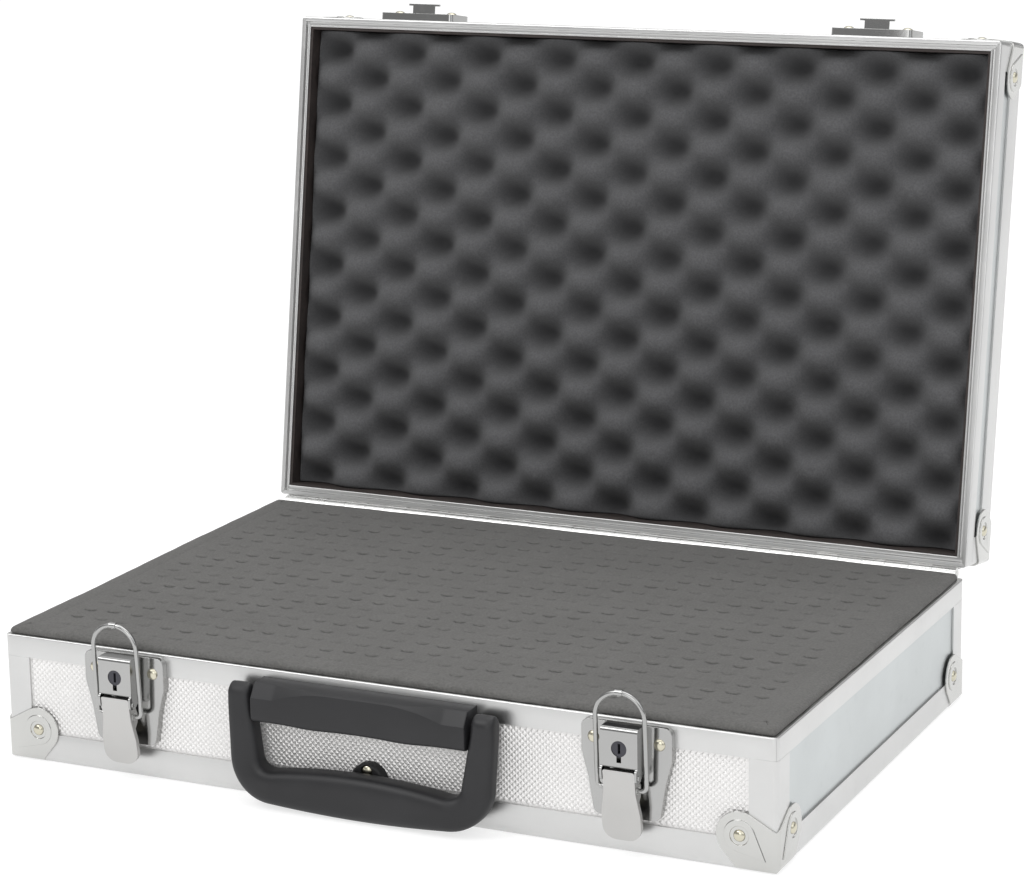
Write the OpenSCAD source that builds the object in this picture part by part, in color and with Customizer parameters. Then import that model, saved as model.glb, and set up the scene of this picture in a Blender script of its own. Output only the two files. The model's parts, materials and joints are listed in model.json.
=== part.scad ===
// Hard case for a laptop: an aluminium frame with faced panels, a full length
// hinge, two draw latches with key locks, a folding handle and foam in both halves.
// The origin is the centre of the underside. X runs right, Y to the hinge, Z up.
// The lid is drawn shut and then turned open about the hinge axis.

/* [Case] */
// Outside width of the body
case_w = 450; // [400:1:560]
// Outside depth of the body
case_d = 300; // [240:1:380]
// Height of the base up to its rim
base_h = 71; // [71:1:120]
// Height of the lid above its rim
lid_h = 43.7; // [40:0.1:70]
// Gap between the two rims when the lid is shut
part_gap = 0.3; // [0.2:0.05:0.5]
// Angle that the lid stands open at
lid_open = 99.25; // [60:0.25:110]
// Radius of the body's outer edges
body_r = 3; // [2:0.5:3.5]

/* [Frame] */
// Wall of the frame profiles
leg_t = 1.2; // [0.8:0.1:1.6]
// Thickness of a wall panel
panel_t = 3.8; // [3:0.1:5]
// Height of the base rim's outer band
base_band = 12; // [9:0.5:14]
// Height of the lid rim's outer band
lid_band = 11; // [8:0.5:13]
// Height of the rims' inner leg
inner_leg = 9; // [6:0.5:10]
// Thickness of the base rim's top
rim_top_t = 2; // [1.5:0.1:3]
// Thickness of the lid rim's face
lid_rim_t = 4.2; // [3.8:0.1:5]
// Width of the tongue on the base rim
tongue_w = 1.2; // [0.8:0.1:1.4]
// Height of the tongue on the base rim
tongue_h = 2.2; // [1.5:0.1:2.4]
// Distance of the tongue's middle from the outer face
tongue_u = 4.1; // [3.9:0.1:4.3]
// Width of the groove in the lid rim
groove_w = 2.4; // [2.2:0.1:2.6]
// Depth of the groove in the lid rim
groove_depth = 2.8; // [2.6:0.1:3.2]
// Height of the bottom edge profile on the walls
bottom_band = 16.5; // [12:0.5:20]
// Height of the lid's top edge profile on the walls
top_band = 20.5; // [14:0.5:24]
// Width of the edge profiles on the large faces
flange_w = 16; // [12:0.5:20]
// Thickness of the edge profiles' flange
flange_t = 2.2; // [1.8:0.1:3]
// Width of a corner post on the front and back
post_front_w = 15; // [10:0.5:20]
// Width of a corner post on the sides
post_side_w = 17; // [10:0.5:22]
// Gap where two lengths of profile meet
mitre_gap = 0.1; // [0.05:0.05:0.2]
// Thickness of the lining boards
lining_t = 1.5; // [1:0.1:2.5]
// How far the lining stays below the rims
lining_drop = 1; // [0.5:0.5:3]

/* [Corner guards] */
// Sheet thickness of a guard
guard_t = 1; // [0.8:0.1:1.4]
// Distance of the rivet from the case's side edge
guard_u = 19.5; // [17:0.5:23]
// Distance of the rivet from the guard's own bottom edge
guard_v = 17.5; // [16:0.5:21]
// Radius of the round lobe
lobe_r = 12.5; // [10:0.5:14]
// Length of a guard's straight edge
guard_leg = 20.5; // [16:0.5:24]
// Radius of the raised drop
drop_r = 8.3; // [7:0.1:9.5]
// Height of the raised drop
drop_h = 0.6; // [0.3:0.1:0.8]
// Distance of the drop's tip from both edges
drop_tip = 5.5; // [4:0.5:7]
// Radius of the sunk seat round the rivet
seat_r = 5; // [4:0.1:6]

/* [Rivets] */
// Radius of a rivet's head
rivet_head_r = 3.25; // [2.5:0.05:3.5]
// Height of a rivet's head
rivet_head_h = 1.2; // [0.8:0.1:1.6]
// Radius of a rivet's shank
rivet_shank_r = 1.6; // [1.2:0.1:2]
// How far a rivet's head is sunk below the bumper's face
rivet_sink = 0.1; // [0.05:0.05:0.3]
// Length of a latch rivet's shank behind its sheet
rivet_tail = 0.8; // [0.4:0.1:1]
// Clearance round a rivet's shank
rivet_slack = 0.05; // [0.03:0.01:0.1]

/* [Hinge] */
// Distance of the hinge's ends from the case's sides
hinge_inset = 5.5; // [4:0.5:10]
// Number of knuckles along the hinge
knuckles = 31; // [21:2:41]
// Outer radius of the barrel
barrel_r = 4.1; // [3.5:0.1:4.5]
// Gap between the barrel and the back of the case
barrel_gap = 0.2; // [0.15:0.05:0.4]
// Gap between two knuckles
knuckle_gap = 0.2; // [0.1:0.05:0.3]
// Thickness of a hinge leaf
leaf_t = 1.2; // [1:0.1:1.5]
// Height of a hinge leaf on the wall
leaf_h = 13.5; // [11:0.5:16]
// Radius of the hinge pin
hinge_pin_r = 2; // [1.5:0.1:2.4]
// Running clearance of pins in their bores
run_gap = 0.05; // [0.03:0.01:0.09]
// Gap between a leaf and the other leaf's knuckles
notch_gap = 0.3; // [0.2:0.05:0.5]
// Number of rivets along one leaf
leaf_rivets = 12; // [8:2:16]
// Height of the leaf rivets above the leaf's free edge
leaf_rivet_rise = 4.5; // [4:0.5:6]
// Length of a stop ear below the barrel's axis
stop_l = 9.5; // [7:0.5:12]
// Thickness of a stop ear
stop_t = 1.5; // [1:0.1:2]
// Gap between a stop ear and the base leaf with the lid open
stop_gap = 0.25; // [0.15:0.05:0.4]

/* [Foam] */
// Gap between the foam and the lining
foam_gap = 0.3; // [0.2:0.1:1]
// How far the base foam stands above the rim
foam_rise = 5; // [2:0.5:5.5]
// Edge radius of the base foam
foam_r = 5; // [3:0.5:8]
// How far the lid foam's crests lie behind the lid's rim
crest_drop = 6.3; // [6:0.1:10]
// Height from the valleys to the crests of the lid foam
crest_h = 16; // [10:0.5:20]
// Spacing of the crests across the lid
crest_pitch_x = 50.8; // [44:0.1:60]
// Spacing of the crests from front to back
crest_pitch_y = 33.4; // [30:0.1:40]
// Place of one crest across the lid
crest_x = -153; // [-165:1:-140]
// Place of one crest from front to back
crest_y = 86.5; // [75:0.5:95]

/* [Handle] */
// Length of the handle bracket
bracket_l = 124.6; // [120:0.2:128]
// Depth of the handle bracket in front of the wall
bracket_d = 16; // [14:0.5:18]
// Height of the bracket
bracket_h = 20.5; // [18:0.5:22]
// Distance of the bracket's top below the rim
bracket_drop = 4.5; // [3:0.5:6]
// Depth of the flat along the bracket's top
bracket_ledge = 2; // [1.5:0.5:4]
// Drop of the bracket's top from the flat to its front
bracket_slope = 6; // [4:0.5:7]
// Edge radius along the bracket's front
bracket_r = 3.6; // [2:0.1:4]
// Height of the sunk crescent on the bracket's front
crescent_h = 3.5; // [2.5:0.1:4]
// How much flatter the crescent's lower edge is
crescent_bow = 4.5; // [3:0.5:6]
// Distance of the crescent below the bracket's top
crescent_drop = 7; // [6.5:0.1:8]
// Depth of the crescent
crescent_depth = 0.8; // [0.5:0.1:1.2]
// Radius of the bracket's arched top
bracket_arch_r = 480; // [400:10:600]
// Distance of the handle's pivots below the rim
pivot_drop = 13; // [12:0.5:14]
// Distance of the handle's pivots in front of the wall
pivot_d = 8; // [7:0.5:9]
// Radius of the handle's pivot pins
handle_pin_r = 3; // [2:0.1:3.5]
// Length of the handle's pivot pins
handle_pin_l = 7; // [5:0.5:10]
// Gap between the bracket's ends and the grip's arms
arm_gap = 0.6; // [0.3:0.1:1]
// Width of the grip's arms
arm_w = 14.6; // [12:0.1:16]
// Depth of the grip's arms
arm_depth = 12; // [10:0.5:13]
// Distance of the grip's lowest edge below the rim
grip_drop = 70; // [66:0.5:70]
// Height of the grip bar at its middle
bar_h = 20.5; // [17:0.5:22]
// Height of the grip bar at its ends
bar_end_h = 16.5; // [14:0.5:19]
// Depth of the grip bar
bar_depth = 14; // [12:0.5:16]
// Distance of the grip bar's middle in front of the wall
bar_d = 13.2; // [13:0.1:16]
// How far the arms' middle lies in front of the pivots
arm_lean = 0.5; // [0:0.1:1]
// How much further out the arms start at the bends
bend_step = 2; // [1:0.1:3]
// Outer radius of the grip's corners
grip_r = 25; // [20:0.5:30]
// How far the arms reach above the pivots
arm_rise = 7.5; // [6:0.5:8.5]
// Radius of the rubber bumper
bumper_r = 9.8; // [8:0.1:11]
// Thickness of the rubber bumper in front of the bottom edge
bumper_t = 5; // [4:0.1:5.2]
// Bevel round the bumper's face
bumper_bevel = 1; // [0.5:0.1:1.5]
// Distance of the bumper's middle below the rim
bumper_drop = 52.5; // [50:0.5:55]
// Distance of the bumper's rivets from its middle
bumper_rivet = 6; // [5:0.1:6.3]

/* [Latches] */
// Distance of a latch's middle from the case's side
latch_inset = 78.5; // [60:0.5:95]
// Width of a latch plate at its top
plate_w = 49; // [44:0.5:54]
// Width of a latch plate at its foot
plate_foot_w = 35.6; // [32:0.2:40]
// Height of a latch plate
plate_h = 49.6; // [46:0.2:50]
// Distance of the plate's shoulders below its top
plate_shoulder = 17; // [14:0.5:20]
// Distance of the plate's waist below its top
plate_waist = 30; // [26:0.5:33]
// How much further out than the foot the waist is on each side
plate_flare = 3.2; // [2:0.1:4]
// Corner radius of the latch plate
plate_r = 4; // [3:0.1:5]
// Distance of a latch plate's top below the rim
plate_drop = 1.2; // [1:0.1:2]
// Depth of a latch plate in front of the wall
plate_d = 4; // [3:0.1:4.5]
// Sheet thickness of the latch pieces
sheet_t = 1.2; // [1:0.1:1.4]
// Distance of a latch's rivets from its middle
latch_rivet_x = 17.8; // [17.6:0.1:20]
// Distance of a latch's rivets below the rim
latch_rivet_drop = 10.2; // [8:0.1:13]
// Height of the hidden rivet above the plate's lower edge
foot_rivet_rise = 8; // [7:0.5:10]
// Width of the lock housing
housing_w = 20; // [19.6:0.1:21]
// Edge radius along the top of the housing's front
housing_r = 2; // [1.5:0.1:2.5]
// How far the housing's sides reach below its front at the plate
web_drop = 4; // [2:0.5:6]
// Distance of the housing's front from the wall
housing_d = 13.5; // [13.2:0.1:14]
// Distance of the housing's top below the rim
housing_drop = 0.8; // [0.5:0.1:1.2]
// Distance of the housing's lower edge below the rim
housing_foot = 21.3; // [20.5:0.1:21.5]
// Distance of the lever's pivot below the rim
lever_drop = 26; // [25.8:0.1:26.5]
// Distance of the lever's pivot in front of the wall
lever_d = 12.3; // [12:0.1:12.5]
// Radius of the lever's pin
lever_pin_r = 1.25; // [1:0.05:1.4]
// How far the lever's pin stands out of the housing on each side
lever_pin_proud = 0.5; // [0.2:0.1:0.8]
// Radius of the housing's ears round the lever's pin
ear_r = 2.6; // [2.2:0.1:3]
// Side clearance between the lever and the ears
lever_side_gap = 0.2; // [0.15:0.05:0.3]
// Distance of the lever's top below the rim
lever_top_drop = 22.8; // [22.6:0.1:23.2]
// Length of the lever's face
lever_l = 38.2; // [34:0.2:38.4]
// Distance of the lever's top in front of the wall
lever_top_d = 14.6; // [14.4:0.1:14.8]
// Slope of the lever's face towards the wall
lever_slope = 7.4; // [5:0.1:8]
// Width of the lever at its lower end
lever_foot_w = 21; // [19:0.2:22]
// Distance from the lever's top to where it starts to widen
lever_shoulder = 12; // [10:0.5:13]
// Corner radius of the lever's flanges, and a measure for its other corners
lever_r = 2.4; // [2:0.1:2.6]
// Depth of the lever's turned edge
lever_rim = 2.6; // [2:0.1:3]
// Distance of the bail's pivot below the rim
bail_drop = 33.5; // [33:0.1:34]
// Distance of the bail's pivot in front of the wall
bail_d = 9.6; // [9.4:0.1:9.7]
// Wall of the lever's flanges behind and below the bail's bushes
bore_wall = 1.4; // [1.2:0.1:1.8]
// Radius of the bail's wire
wire_r = 1.25; // [1:0.05:1.3]
// Distance of the bail's legs from the latch's middle
bail_x = 13.3; // [12.8:0.1:13.5]
// Height of the bail's wire above the rim at its top
bail_rise = 17.5; // [17.3:0.1:18]
// Radius of the bail's lower bends
bail_bend_r = 3; // [2:0.1:3.2]
// Angle that the bail leans out at, at rest
bail_lean = 3.4; // [3.2:0.1:5]
// Length of the wire's ends inside the lever
bail_end_l = 1.6; // [1.2:0.1:2]
// Wall of the ferrule and of the wire's upset ends
ferrule_t = 0.35; // [0.2:0.05:0.4]
// Length of the ferrule over the wire's joint
ferrule_l = 4; // [3:0.5:6]
// Wall of the bushes that the bail turns in
bush_t = 0.85; // [0.7:0.05:1]

/* [Locks] */
// Distance of the lock's axis below the rim
lock_drop = 11.6; // [11:0.1:12]
// Radius of the lock plug
plug_r = 4.1; // [3.5:0.1:4.3]
// How far the lock plug stays behind the housing's faces
plug_sink = 0.3; // [0.2:0.05:0.5]
// How far the plug's collar stands out round it
plug_collar = 1; // [0.5:0.1:1.4]
// Radius of the plug's tail
tail_r = 2; // [1.5:0.1:2.5]
// Width of the key's slit
key_w = 1.4; // [1:0.1:1.8]
// Height of the key's slit
key_h = 5.2; // [4:0.1:6]
// Depth of the key's slit
key_l = 4; // [2:0.5:4]
// Width of the slot under the keyhole
key_slot_w = 2.5; // [2:0.1:3]
// Distance of the slot's end below the lock's axis
key_slot_l = 7.2; // [6:0.1:7.6]
// Length of the lock's cam
cam_l = 8.3; // [7:0.1:8.4]
// Thickness of the lock's cam
cam_t = 1.6; // [1:0.1:2]
// Distance of the cam's middle in front of the latch plate
cam_d = 4.4; // [4:0.1:4.6]
// Width of the carrier behind the lock
carrier_w = 14; // [12:0.5:15]
// Height of the carrier
carrier_h = 12; // [8:0.5:14]
// Thickness of the carrier
carrier_t = 1.5; // [1:0.1:2]
// Width of the lock's cam
cam_w = 4; // [3:0.1:4.5]

/* [Strikes] */
// Height of a strike plate
strike_h = 25.5; // [22:0.5:26]
// Distance of a strike plate above the lid's rim
strike_rise = 2.2; // [1.5:0.1:3]
// Depth of a strike plate in front of the wall
strike_d = 4.3; // [3.5:0.1:4.5]
// Width of a strike's hook
hook_w = 21; // [16:0.5:22]
// Height of the metal under the hook's ledge
hook_t = 3; // [2:0.1:3.5]
// Width of the strike's metal below its opening
strike_border = 3; // [2:0.5:4]
// Corner radius at the top of a strike
strike_r = 5; // [3:0.5:6]
// Height of the hook's ledge above the lid's rim
ledge_rise = 15.3; // [15:0.1:15.5]
// Distance of the hook's front from the wall
hook_d = 10.6; // [10:0.1:10.8]
// Height of the lip above the ledge
lip_h = 3; // [2:0.1:3.2]

/* [Hidden] */
$fn = 48;
tiny = 0.01;
beyond = 1;

half_w = case_w / 2;
half_d = case_d / 2;
// Width of both rims: an outer leg, the panel and an inner leg
rim_w = 2 * leg_t + panel_t;
latch_x = half_w - latch_inset;
lid_z = base_h + part_gap;
top_z = lid_z + lid_h;
hinge_l = case_w - 2 * hinge_inset;
hinge_y = half_d + barrel_r + barrel_gap;
hinge_z = base_h + part_gap / 2;
knuckle_pitch = hinge_l / knuckles;
foam_w = case_w - 2 * (rim_w + lining_t + foam_gap);
foam_d = case_d - 2 * (rim_w + lining_t + foam_gap);

// Colours
satin = [0.87, 0.87, 0.88];
facing = [0.80, 0.81, 0.81];
steel = [0.83, 0.84, 0.85];
chrome = [0.90, 0.90, 0.91];
black = [0.20, 0.20, 0.21];
plug_grey = [0.24, 0.24, 0.27];
board = [0.29, 0.20, 0.15];
foam_grey = [0.44, 0.43, 0.42];
foam_dark = [0.25, 0.25, 0.25];
brassy = [0.80, 0.76, 0.62];

// A direction as a unit vector
function unit(v) = v / norm(v);

// The point where a line from p touches a circle; turn is 1 or -1
function touch(p, c, r, turn) =
    let (
        gap = c - p,
        far = norm(gap),
        aim = atan2(gap[1], gap[0]) + turn * asin(r / far)
    )
    p + sqrt(far * far - r * r) * [cos(aim), sin(aim)];

// One corner of an outline as an arc; p is [x, y, radius]
function corner_arc(before, p, after, steps) =
    p[2] <= 0 ? [[p[0], p[1]]] :
    let (
        at = [p[0], p[1]],
        a = unit([before[0], before[1]] - at),
        b = unit([after[0], after[1]] - at),
        half = acos(a * b) / 2,
        mid = at + unit(a + b) * p[2] / sin(half),
        start = at + a * p[2] / tan(half) - mid,
        finish = at + b * p[2] / tan(half) - mid,
        from = atan2(start[1], start[0]),
        raw = atan2(finish[1], finish[0]) - from,
        sweep = raw > 180 ? raw - 360 : raw < -180 ? raw + 360 : raw
    )
    [for (i = [0:steps]) mid + p[2] * [cos(from + sweep * i / steps), sin(from + sweep * i / steps)]];

// An outline with its corners rounded; each point is [x, y, radius]
function rounded(points, steps = 5) =
    let (n = len(points))
    [for (i = [0:n - 1]) each corner_arc(points[(i + n - 1) % n], points[i], points[(i + 1) % n], steps)];

// The right half of an outline and its mirror image; x grows away from the middle
function both_halves(points) =
    concat(points, [for (i = [len(points) - 1:-1:0]) [-points[i][0], points[i][1], points[i][2]]]);

// A rectangle about the origin with round corners
module round_rect(w, d, r) {
    square([w - 2 * r, d], center = true);
    square([w, d - 2 * r], center = true);
    for (x = [-1, 1], y = [-1, 1]) translate([x * (w / 2 - r), y * (d / 2 - r)]) circle(r);
}

// Turns the lid's pieces from shut to open
module lid_pose() {
    translate([0, hinge_y, hinge_z]) rotate([-lid_open, 0, 0]) translate([0, -hinge_y, -hinge_z]) children();
}

// Puts a piece drawn at the latch's middle on the left or the right
module latch_at(side) { translate([side * latch_x, -half_d, 0]) children(); }

// Extrudes a section drawn as [distance in front of the wall, height] across x
module across(w) {
    rotate([90, 0, 0]) rotate([0, -90, 0]) translate([0, 0, -w / 2]) linear_extrude(w) children();
}

// Extrudes an outline drawn as [x, height] out from the wall, from near to far
module outward(near, far) {
    translate([0, -near, 0]) rotate([90, 0, 0]) linear_extrude(far - near) children();
}

// A rivet on a sheet whose outer face is at z = 0
module rivet(sheet) {
    ball_r = (pow(rivet_head_r, 2) + pow(rivet_head_h, 2)) / (2 * rivet_head_h);
    intersection() {
        translate([0, 0, rivet_head_h - ball_r]) sphere(ball_r);
        cylinder(r = rivet_head_r, h = rivet_head_h);
    }
    translate([0, 0, -sheet]) cylinder(r = rivet_shank_r, h = sheet + tiny);
}

// The hole for a rivet in a sheet whose outer face is at z = 0
module rivet_hole(sheet) {
    translate([0, 0, -sheet - beyond]) cylinder(r = rivet_shank_r + rivet_slack, h = sheet + 2 * beyond);
}

// One mitred length of a profile along the front; the section is [inwards, height]
module frame_length(along, across_d, z_low, z_high) {
    reach = flange_w + 2 * leg_t;
    gap = mitre_gap / 2;
    intersection() {
        translate([-along / 2, -across_d / 2, 0]) rotate([90, 0, 90]) linear_extrude(along) children();
        translate([0, 0, z_low - beyond]) linear_extrude(z_high - z_low + 2 * beyond)
            translate([0, -across_d / 2]) polygon([
                [-along / 2 + gap, 0], [along / 2 - gap, 0],
                [along / 2 - gap - reach, reach], [-along / 2 + gap + reach, reach]
            ]);
    }
}

// Four mitred lengths of a profile round the case
module frame_ring(z_low, z_high) {
    intersection() {
        union() {
            for (turn = [0, 180]) rotate(turn) frame_length(case_w, case_d, z_low, z_high) children();
            for (turn = [90, 270]) rotate(turn) frame_length(case_d, case_w, z_low, z_high) children();
        }
        translate([0, 0, z_low - beyond]) linear_extrude(z_high - z_low + 2 * beyond)
            round_rect(case_w, case_d, body_r);
    }
}

// Walls of one half of the case, from low to high
module wall_panel_x(side, low, high) {
    length = case_w - 2 * leg_t;
    at_y = side < 0 ? -half_d + leg_t : half_d - leg_t - panel_t;
    translate([-length / 2, at_y, low]) cube([length, panel_t, high - low]);
}
// A side panel fits between the front and back panels
module side_panel(side, low, high) {
    length = case_d - 2 * leg_t - 2 * panel_t;
    at_x = side < 0 ? -half_w + leg_t : half_w - leg_t - panel_t;
    translate([at_x, -length / 2, low]) cube([panel_t, length, high - low]);
}

// A corner post: an angle on the outside of the panels
module corner_posts(low, high) {
    for (x = [-1, 1], y = [-1, 1]) to_corner(x, y)
        translate([0, 0, low]) linear_extrude(high - low) difference() {
            intersection() {
                square([post_front_w, post_side_w]);
                corner_square(post_front_w + post_side_w);
            }
            translate([leg_t, leg_t]) square(post_front_w + post_side_w);
        }
}

// Mirrors a piece drawn at the front left corner to another corner
module to_corner(x, y) {
    mirror([x > 0 ? 1 : 0, 0, 0]) mirror([0, y > 0 ? 1 : 0, 0]) translate([-half_w, -half_d, 0]) children();
}

// A square from the origin with its first corner rounded
module corner_square(size, r = body_r) {
    translate([r, r]) circle(r);
    translate([r, 0]) square([size - r, size]);
    translate([0, r]) square([size, size - r]);
}

// Corner guards. They are drawn at a corner at the origin, with the case at +x, +y, +z.

// The outline of a guard on one face
module guard_outline() {
    mid = [guard_u, guard_v];
    foot = [guard_leg, -guard_t];
    side = [-guard_t, guard_leg];
    polygon([
        [-guard_t, -guard_t], foot, touch(foot, mid, lobe_r, -1),
        mid, touch(side, mid, lobe_r, 1), side
    ]);
    translate(mid) circle(lobe_r);
}

// The raised drop on a guard's face, sunk round the rivet
module guard_drop() {
    mid = [guard_u, guard_v];
    tip = [drop_tip, drop_tip];
    difference() {
        union() {
            polygon([tip, touch(tip, mid, drop_r, -1), mid, touch(tip, mid, drop_r, 1)]);
            translate(mid) circle(drop_r);
        }
        translate(mid) circle(seat_r);
    }
}

// A block that stands for the corner of the case, grown by a wall
module corner_block(grow) {
    size = 3 * lobe_r + guard_u;
    translate([-grow, -grow, -grow]) intersection() {
        linear_extrude(size) corner_square(size, body_r + grow);
        rotate([90, 0, 90]) linear_extrude(size) corner_square(size, body_r + grow);
        mirror([0, 1, 0]) rotate([90, 0, 0]) linear_extrude(size) corner_square(size, body_r + grow);
    }
}

// Puts a face's outline on the front, the side and the flat of the corner
module guard_faces(near, far, with_flat = true) {
    mirror([0, 1, 0]) rotate([90, 0, 0]) translate([0, 0, near]) linear_extrude(far - near) children();
    rotate([90, 0, 90]) translate([0, 0, near]) linear_extrude(far - near) children();
    if (with_flat) translate([0, 0, near]) linear_extrude(far - near) children();
}

// The rivets' places on a guard; z points out of the face
module guard_rivet_places(with_flat) {
    translate([guard_u, -guard_t, guard_v]) rotate([90, 0, 0]) children();
    translate([-guard_t, guard_u, guard_v]) rotate([0, -90, 0]) children();
    if (with_flat) translate([guard_u, guard_v, -guard_t]) rotate([180, 0, 0]) children();
}

// The plain sheet of a guard, bent round the corner
module guard_sheet() {
    intersection() {
        difference() {
            corner_block(guard_t);
            corner_block(0);
        }
        guard_faces(-guard_t, body_r + guard_t) guard_outline();
    }
}

module corner_guard(with_flat) {
    difference() {
        union() {
            guard_sheet();
            guard_faces(-guard_t - drop_h, -guard_t, with_flat) guard_drop();
        }
        guard_rivet_places(with_flat) rivet_hole(guard_t);
    }
}

// The guards' bottom plates lie flush with the underside
module base_guard_places() {
    for (x = [-1, 1], y = [-1, 1]) to_corner(x, y) translate([0, 0, guard_t]) children();
}
module lid_guard_places() {
    for (x = [-1, 1], y = [-1, 1]) to_corner(x, y) translate([0, 0, top_z]) mirror([0, 0, 1]) children();
}

// The room that the guards' bottom plates take out of the underside
module guard_pockets() { base_guard_places() guard_sheet(); }

// The base

module base_front_panel() { color(facing) wall_panel_x(-1, flange_t, base_h - rim_top_t); }
module base_back_panel() { color(facing) wall_panel_x(1, flange_t, base_h - rim_top_t); }
module base_left_panel() { color(facing) side_panel(-1, flange_t, base_h - rim_top_t); }
module base_right_panel() { color(facing) side_panel(1, flange_t, base_h - rim_top_t); }

// A large panel lies between the flanges of the edge profiles
module large_panel(low) {
    translate([0, 0, low]) linear_extrude(panel_t)
        square([case_w - 2 * flange_w, case_d - 2 * flange_w], center = true);
}

module base_bottom_panel() {
    color(facing) difference() {
        large_panel(0);
        guard_pockets();
    }
}

// Section of the base rim, with its height measured from the floor
module base_rim_section() {
    top = base_h;
    inner = rim_w - leg_t;
    polygon(rounded([
        [0, top - base_band, 0], [leg_t, top - base_band, 0], [leg_t, top - rim_top_t, 0],
        [inner, top - rim_top_t, 0], [inner, top - inner_leg, 0], [rim_w, top - inner_leg, 0],
        [rim_w, top, 0.4], [tongue_u + tongue_w / 2, top, 0],
        [tongue_u + tongue_w / 2, top + tongue_h, 0.5], [tongue_u - tongue_w / 2, top + tongue_h, 0.5],
        [tongue_u - tongue_w / 2, top, 0], [0, top, 0.9]
    ], 3));
}
module base_rim() {
    color(satin) frame_ring(base_h - base_band, base_h + tongue_h) base_rim_section();
}

// Section of an edge profile with its flange at height 0 and its legs going up
module edge_section(band) {
    inner = rim_w - leg_t;
    polygon(rounded([
        [0, 0, body_r], [flange_w, 0, 0], [flange_w, flange_t, 0], [rim_w, flange_t, 0],
        [rim_w, band / 2, 0], [inner, band / 2, 0], [inner, flange_t, 0], [leg_t, flange_t, 0],
        [leg_t, band, 0], [0, band, 0]
    ], 4));
}
module base_bottom_edges() {
    color(satin) difference() {
        frame_ring(0, bottom_band) edge_section(bottom_band);
        guard_pockets();
    }
}
module base_corner_posts() { color(satin) corner_posts(bottom_band, base_h - base_band); }
module base_corner_guards() { color(steel) base_guard_places() corner_guard(false); }
module base_guard_rivets() {
    color(brassy) base_guard_places() guard_rivet_places(false) rivet(guard_t);
}

// Four lining boards and one on the large panel; the lid's are turned over
module lining(floor_z, rim_z) {
    low = min(floor_z, rim_z);
    high = max(floor_z, rim_z);
    wide = case_w - 2 * rim_w;
    deep = case_d - 2 * rim_w;
    difference() {
        translate([-wide / 2, -deep / 2, low]) cube([wide, deep, high - low]);
        translate([-wide / 2 + lining_t, -deep / 2 + lining_t, floor_z < rim_z ? low + lining_t : low - beyond])
            cube([wide - 2 * lining_t, deep - 2 * lining_t, high - low - lining_t + beyond]);
    }
}
module base_lining() { color(board) lining(panel_t, base_h - lining_drop); }

module base_foam() {
    low = panel_t + lining_t + foam_gap;
    high = base_h + foam_rise;
    color(foam_grey) intersection() {
        translate([0, 0, low]) linear_extrude(high - low) round_rect(foam_w, foam_d, foam_r);
        translate([-foam_w / 2, 0, low]) rotate([90, 0, 90]) linear_extrude(foam_w)
            foam_side(foam_d, high - low);
        translate([0, foam_d / 2, low]) rotate([90, 0, 0]) linear_extrude(foam_d)
            foam_side(foam_w, high - low);
    }
}

// The foam block seen from a side, with its upper edges rounded
module foam_side(w, h) {
    translate([-w / 2, 0]) square([w, h - foam_r]);
    translate([-w / 2 + foam_r, 0]) square([w - 2 * foam_r, h]);
    for (x = [-1, 1]) translate([x * (w / 2 - foam_r), h - foam_r]) circle(foam_r);
}

// The hinge

// The barrel's knuckles: first is 0 for the base leaf and 1 for the lid leaf
module hinge_knuckles(first, grow = 0, gap = knuckle_gap) {
    for (i = [first:2:knuckles - 1])
        translate([-hinge_l / 2 + i * knuckle_pitch + gap / 2, hinge_y, hinge_z]) rotate([0, 90, 0])
            cylinder(r = barrel_r + grow, h = knuckle_pitch - gap);
}

// Places of the leaf rivets, midway between the ends
function leaf_rivet_x(i) = hinge_l * ((i + 0.5) / leaf_rivets - 0.5);

// A leaf on the back wall from the axis to its free edge; side is -1 below and 1 above
module hinge_leaf(side, first) {
    edge_z = side < 0 ? base_h : lid_z;
    difference() {
        union() {
            difference() {
                translate([-hinge_l / 2, half_d, side < 0 ? edge_z - leaf_h : edge_z])
                    cube([hinge_l, leaf_t, leaf_h]);
                hinge_knuckles(1 - first, notch_gap, -knuckle_gap);
            }
            hinge_knuckles(first);
        }
        translate([-hinge_l / 2 - beyond, hinge_y, hinge_z]) rotate([0, 90, 0])
            cylinder(r = hinge_pin_r + run_gap, h = hinge_l + 2 * beyond);
        leaf_rivet_places(side) rivet_hole(leaf_t);
    }
}
module leaf_rivet_places(side) {
    free_z = side < 0 ? base_h - leaf_h + leaf_rivet_rise : lid_z + leaf_h - leaf_rivet_rise;
    for (i = [0:leaf_rivets - 1])
        translate([leaf_rivet_x(i), half_d + leaf_t, free_z]) rotate([-90, 0, 0]) children();
}
module hinge_base_leaf() { color(chrome) hinge_leaf(-1, 0); }
module hinge_base_rivets() { color(steel) leaf_rivet_places(-1) rivet(leaf_t); }
module hinge_pin() {
    color(steel) translate([-hinge_l / 2, hinge_y, hinge_z]) rotate([0, 90, 0])
        cylinder(r = hinge_pin_r, h = hinge_l);
}

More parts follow.
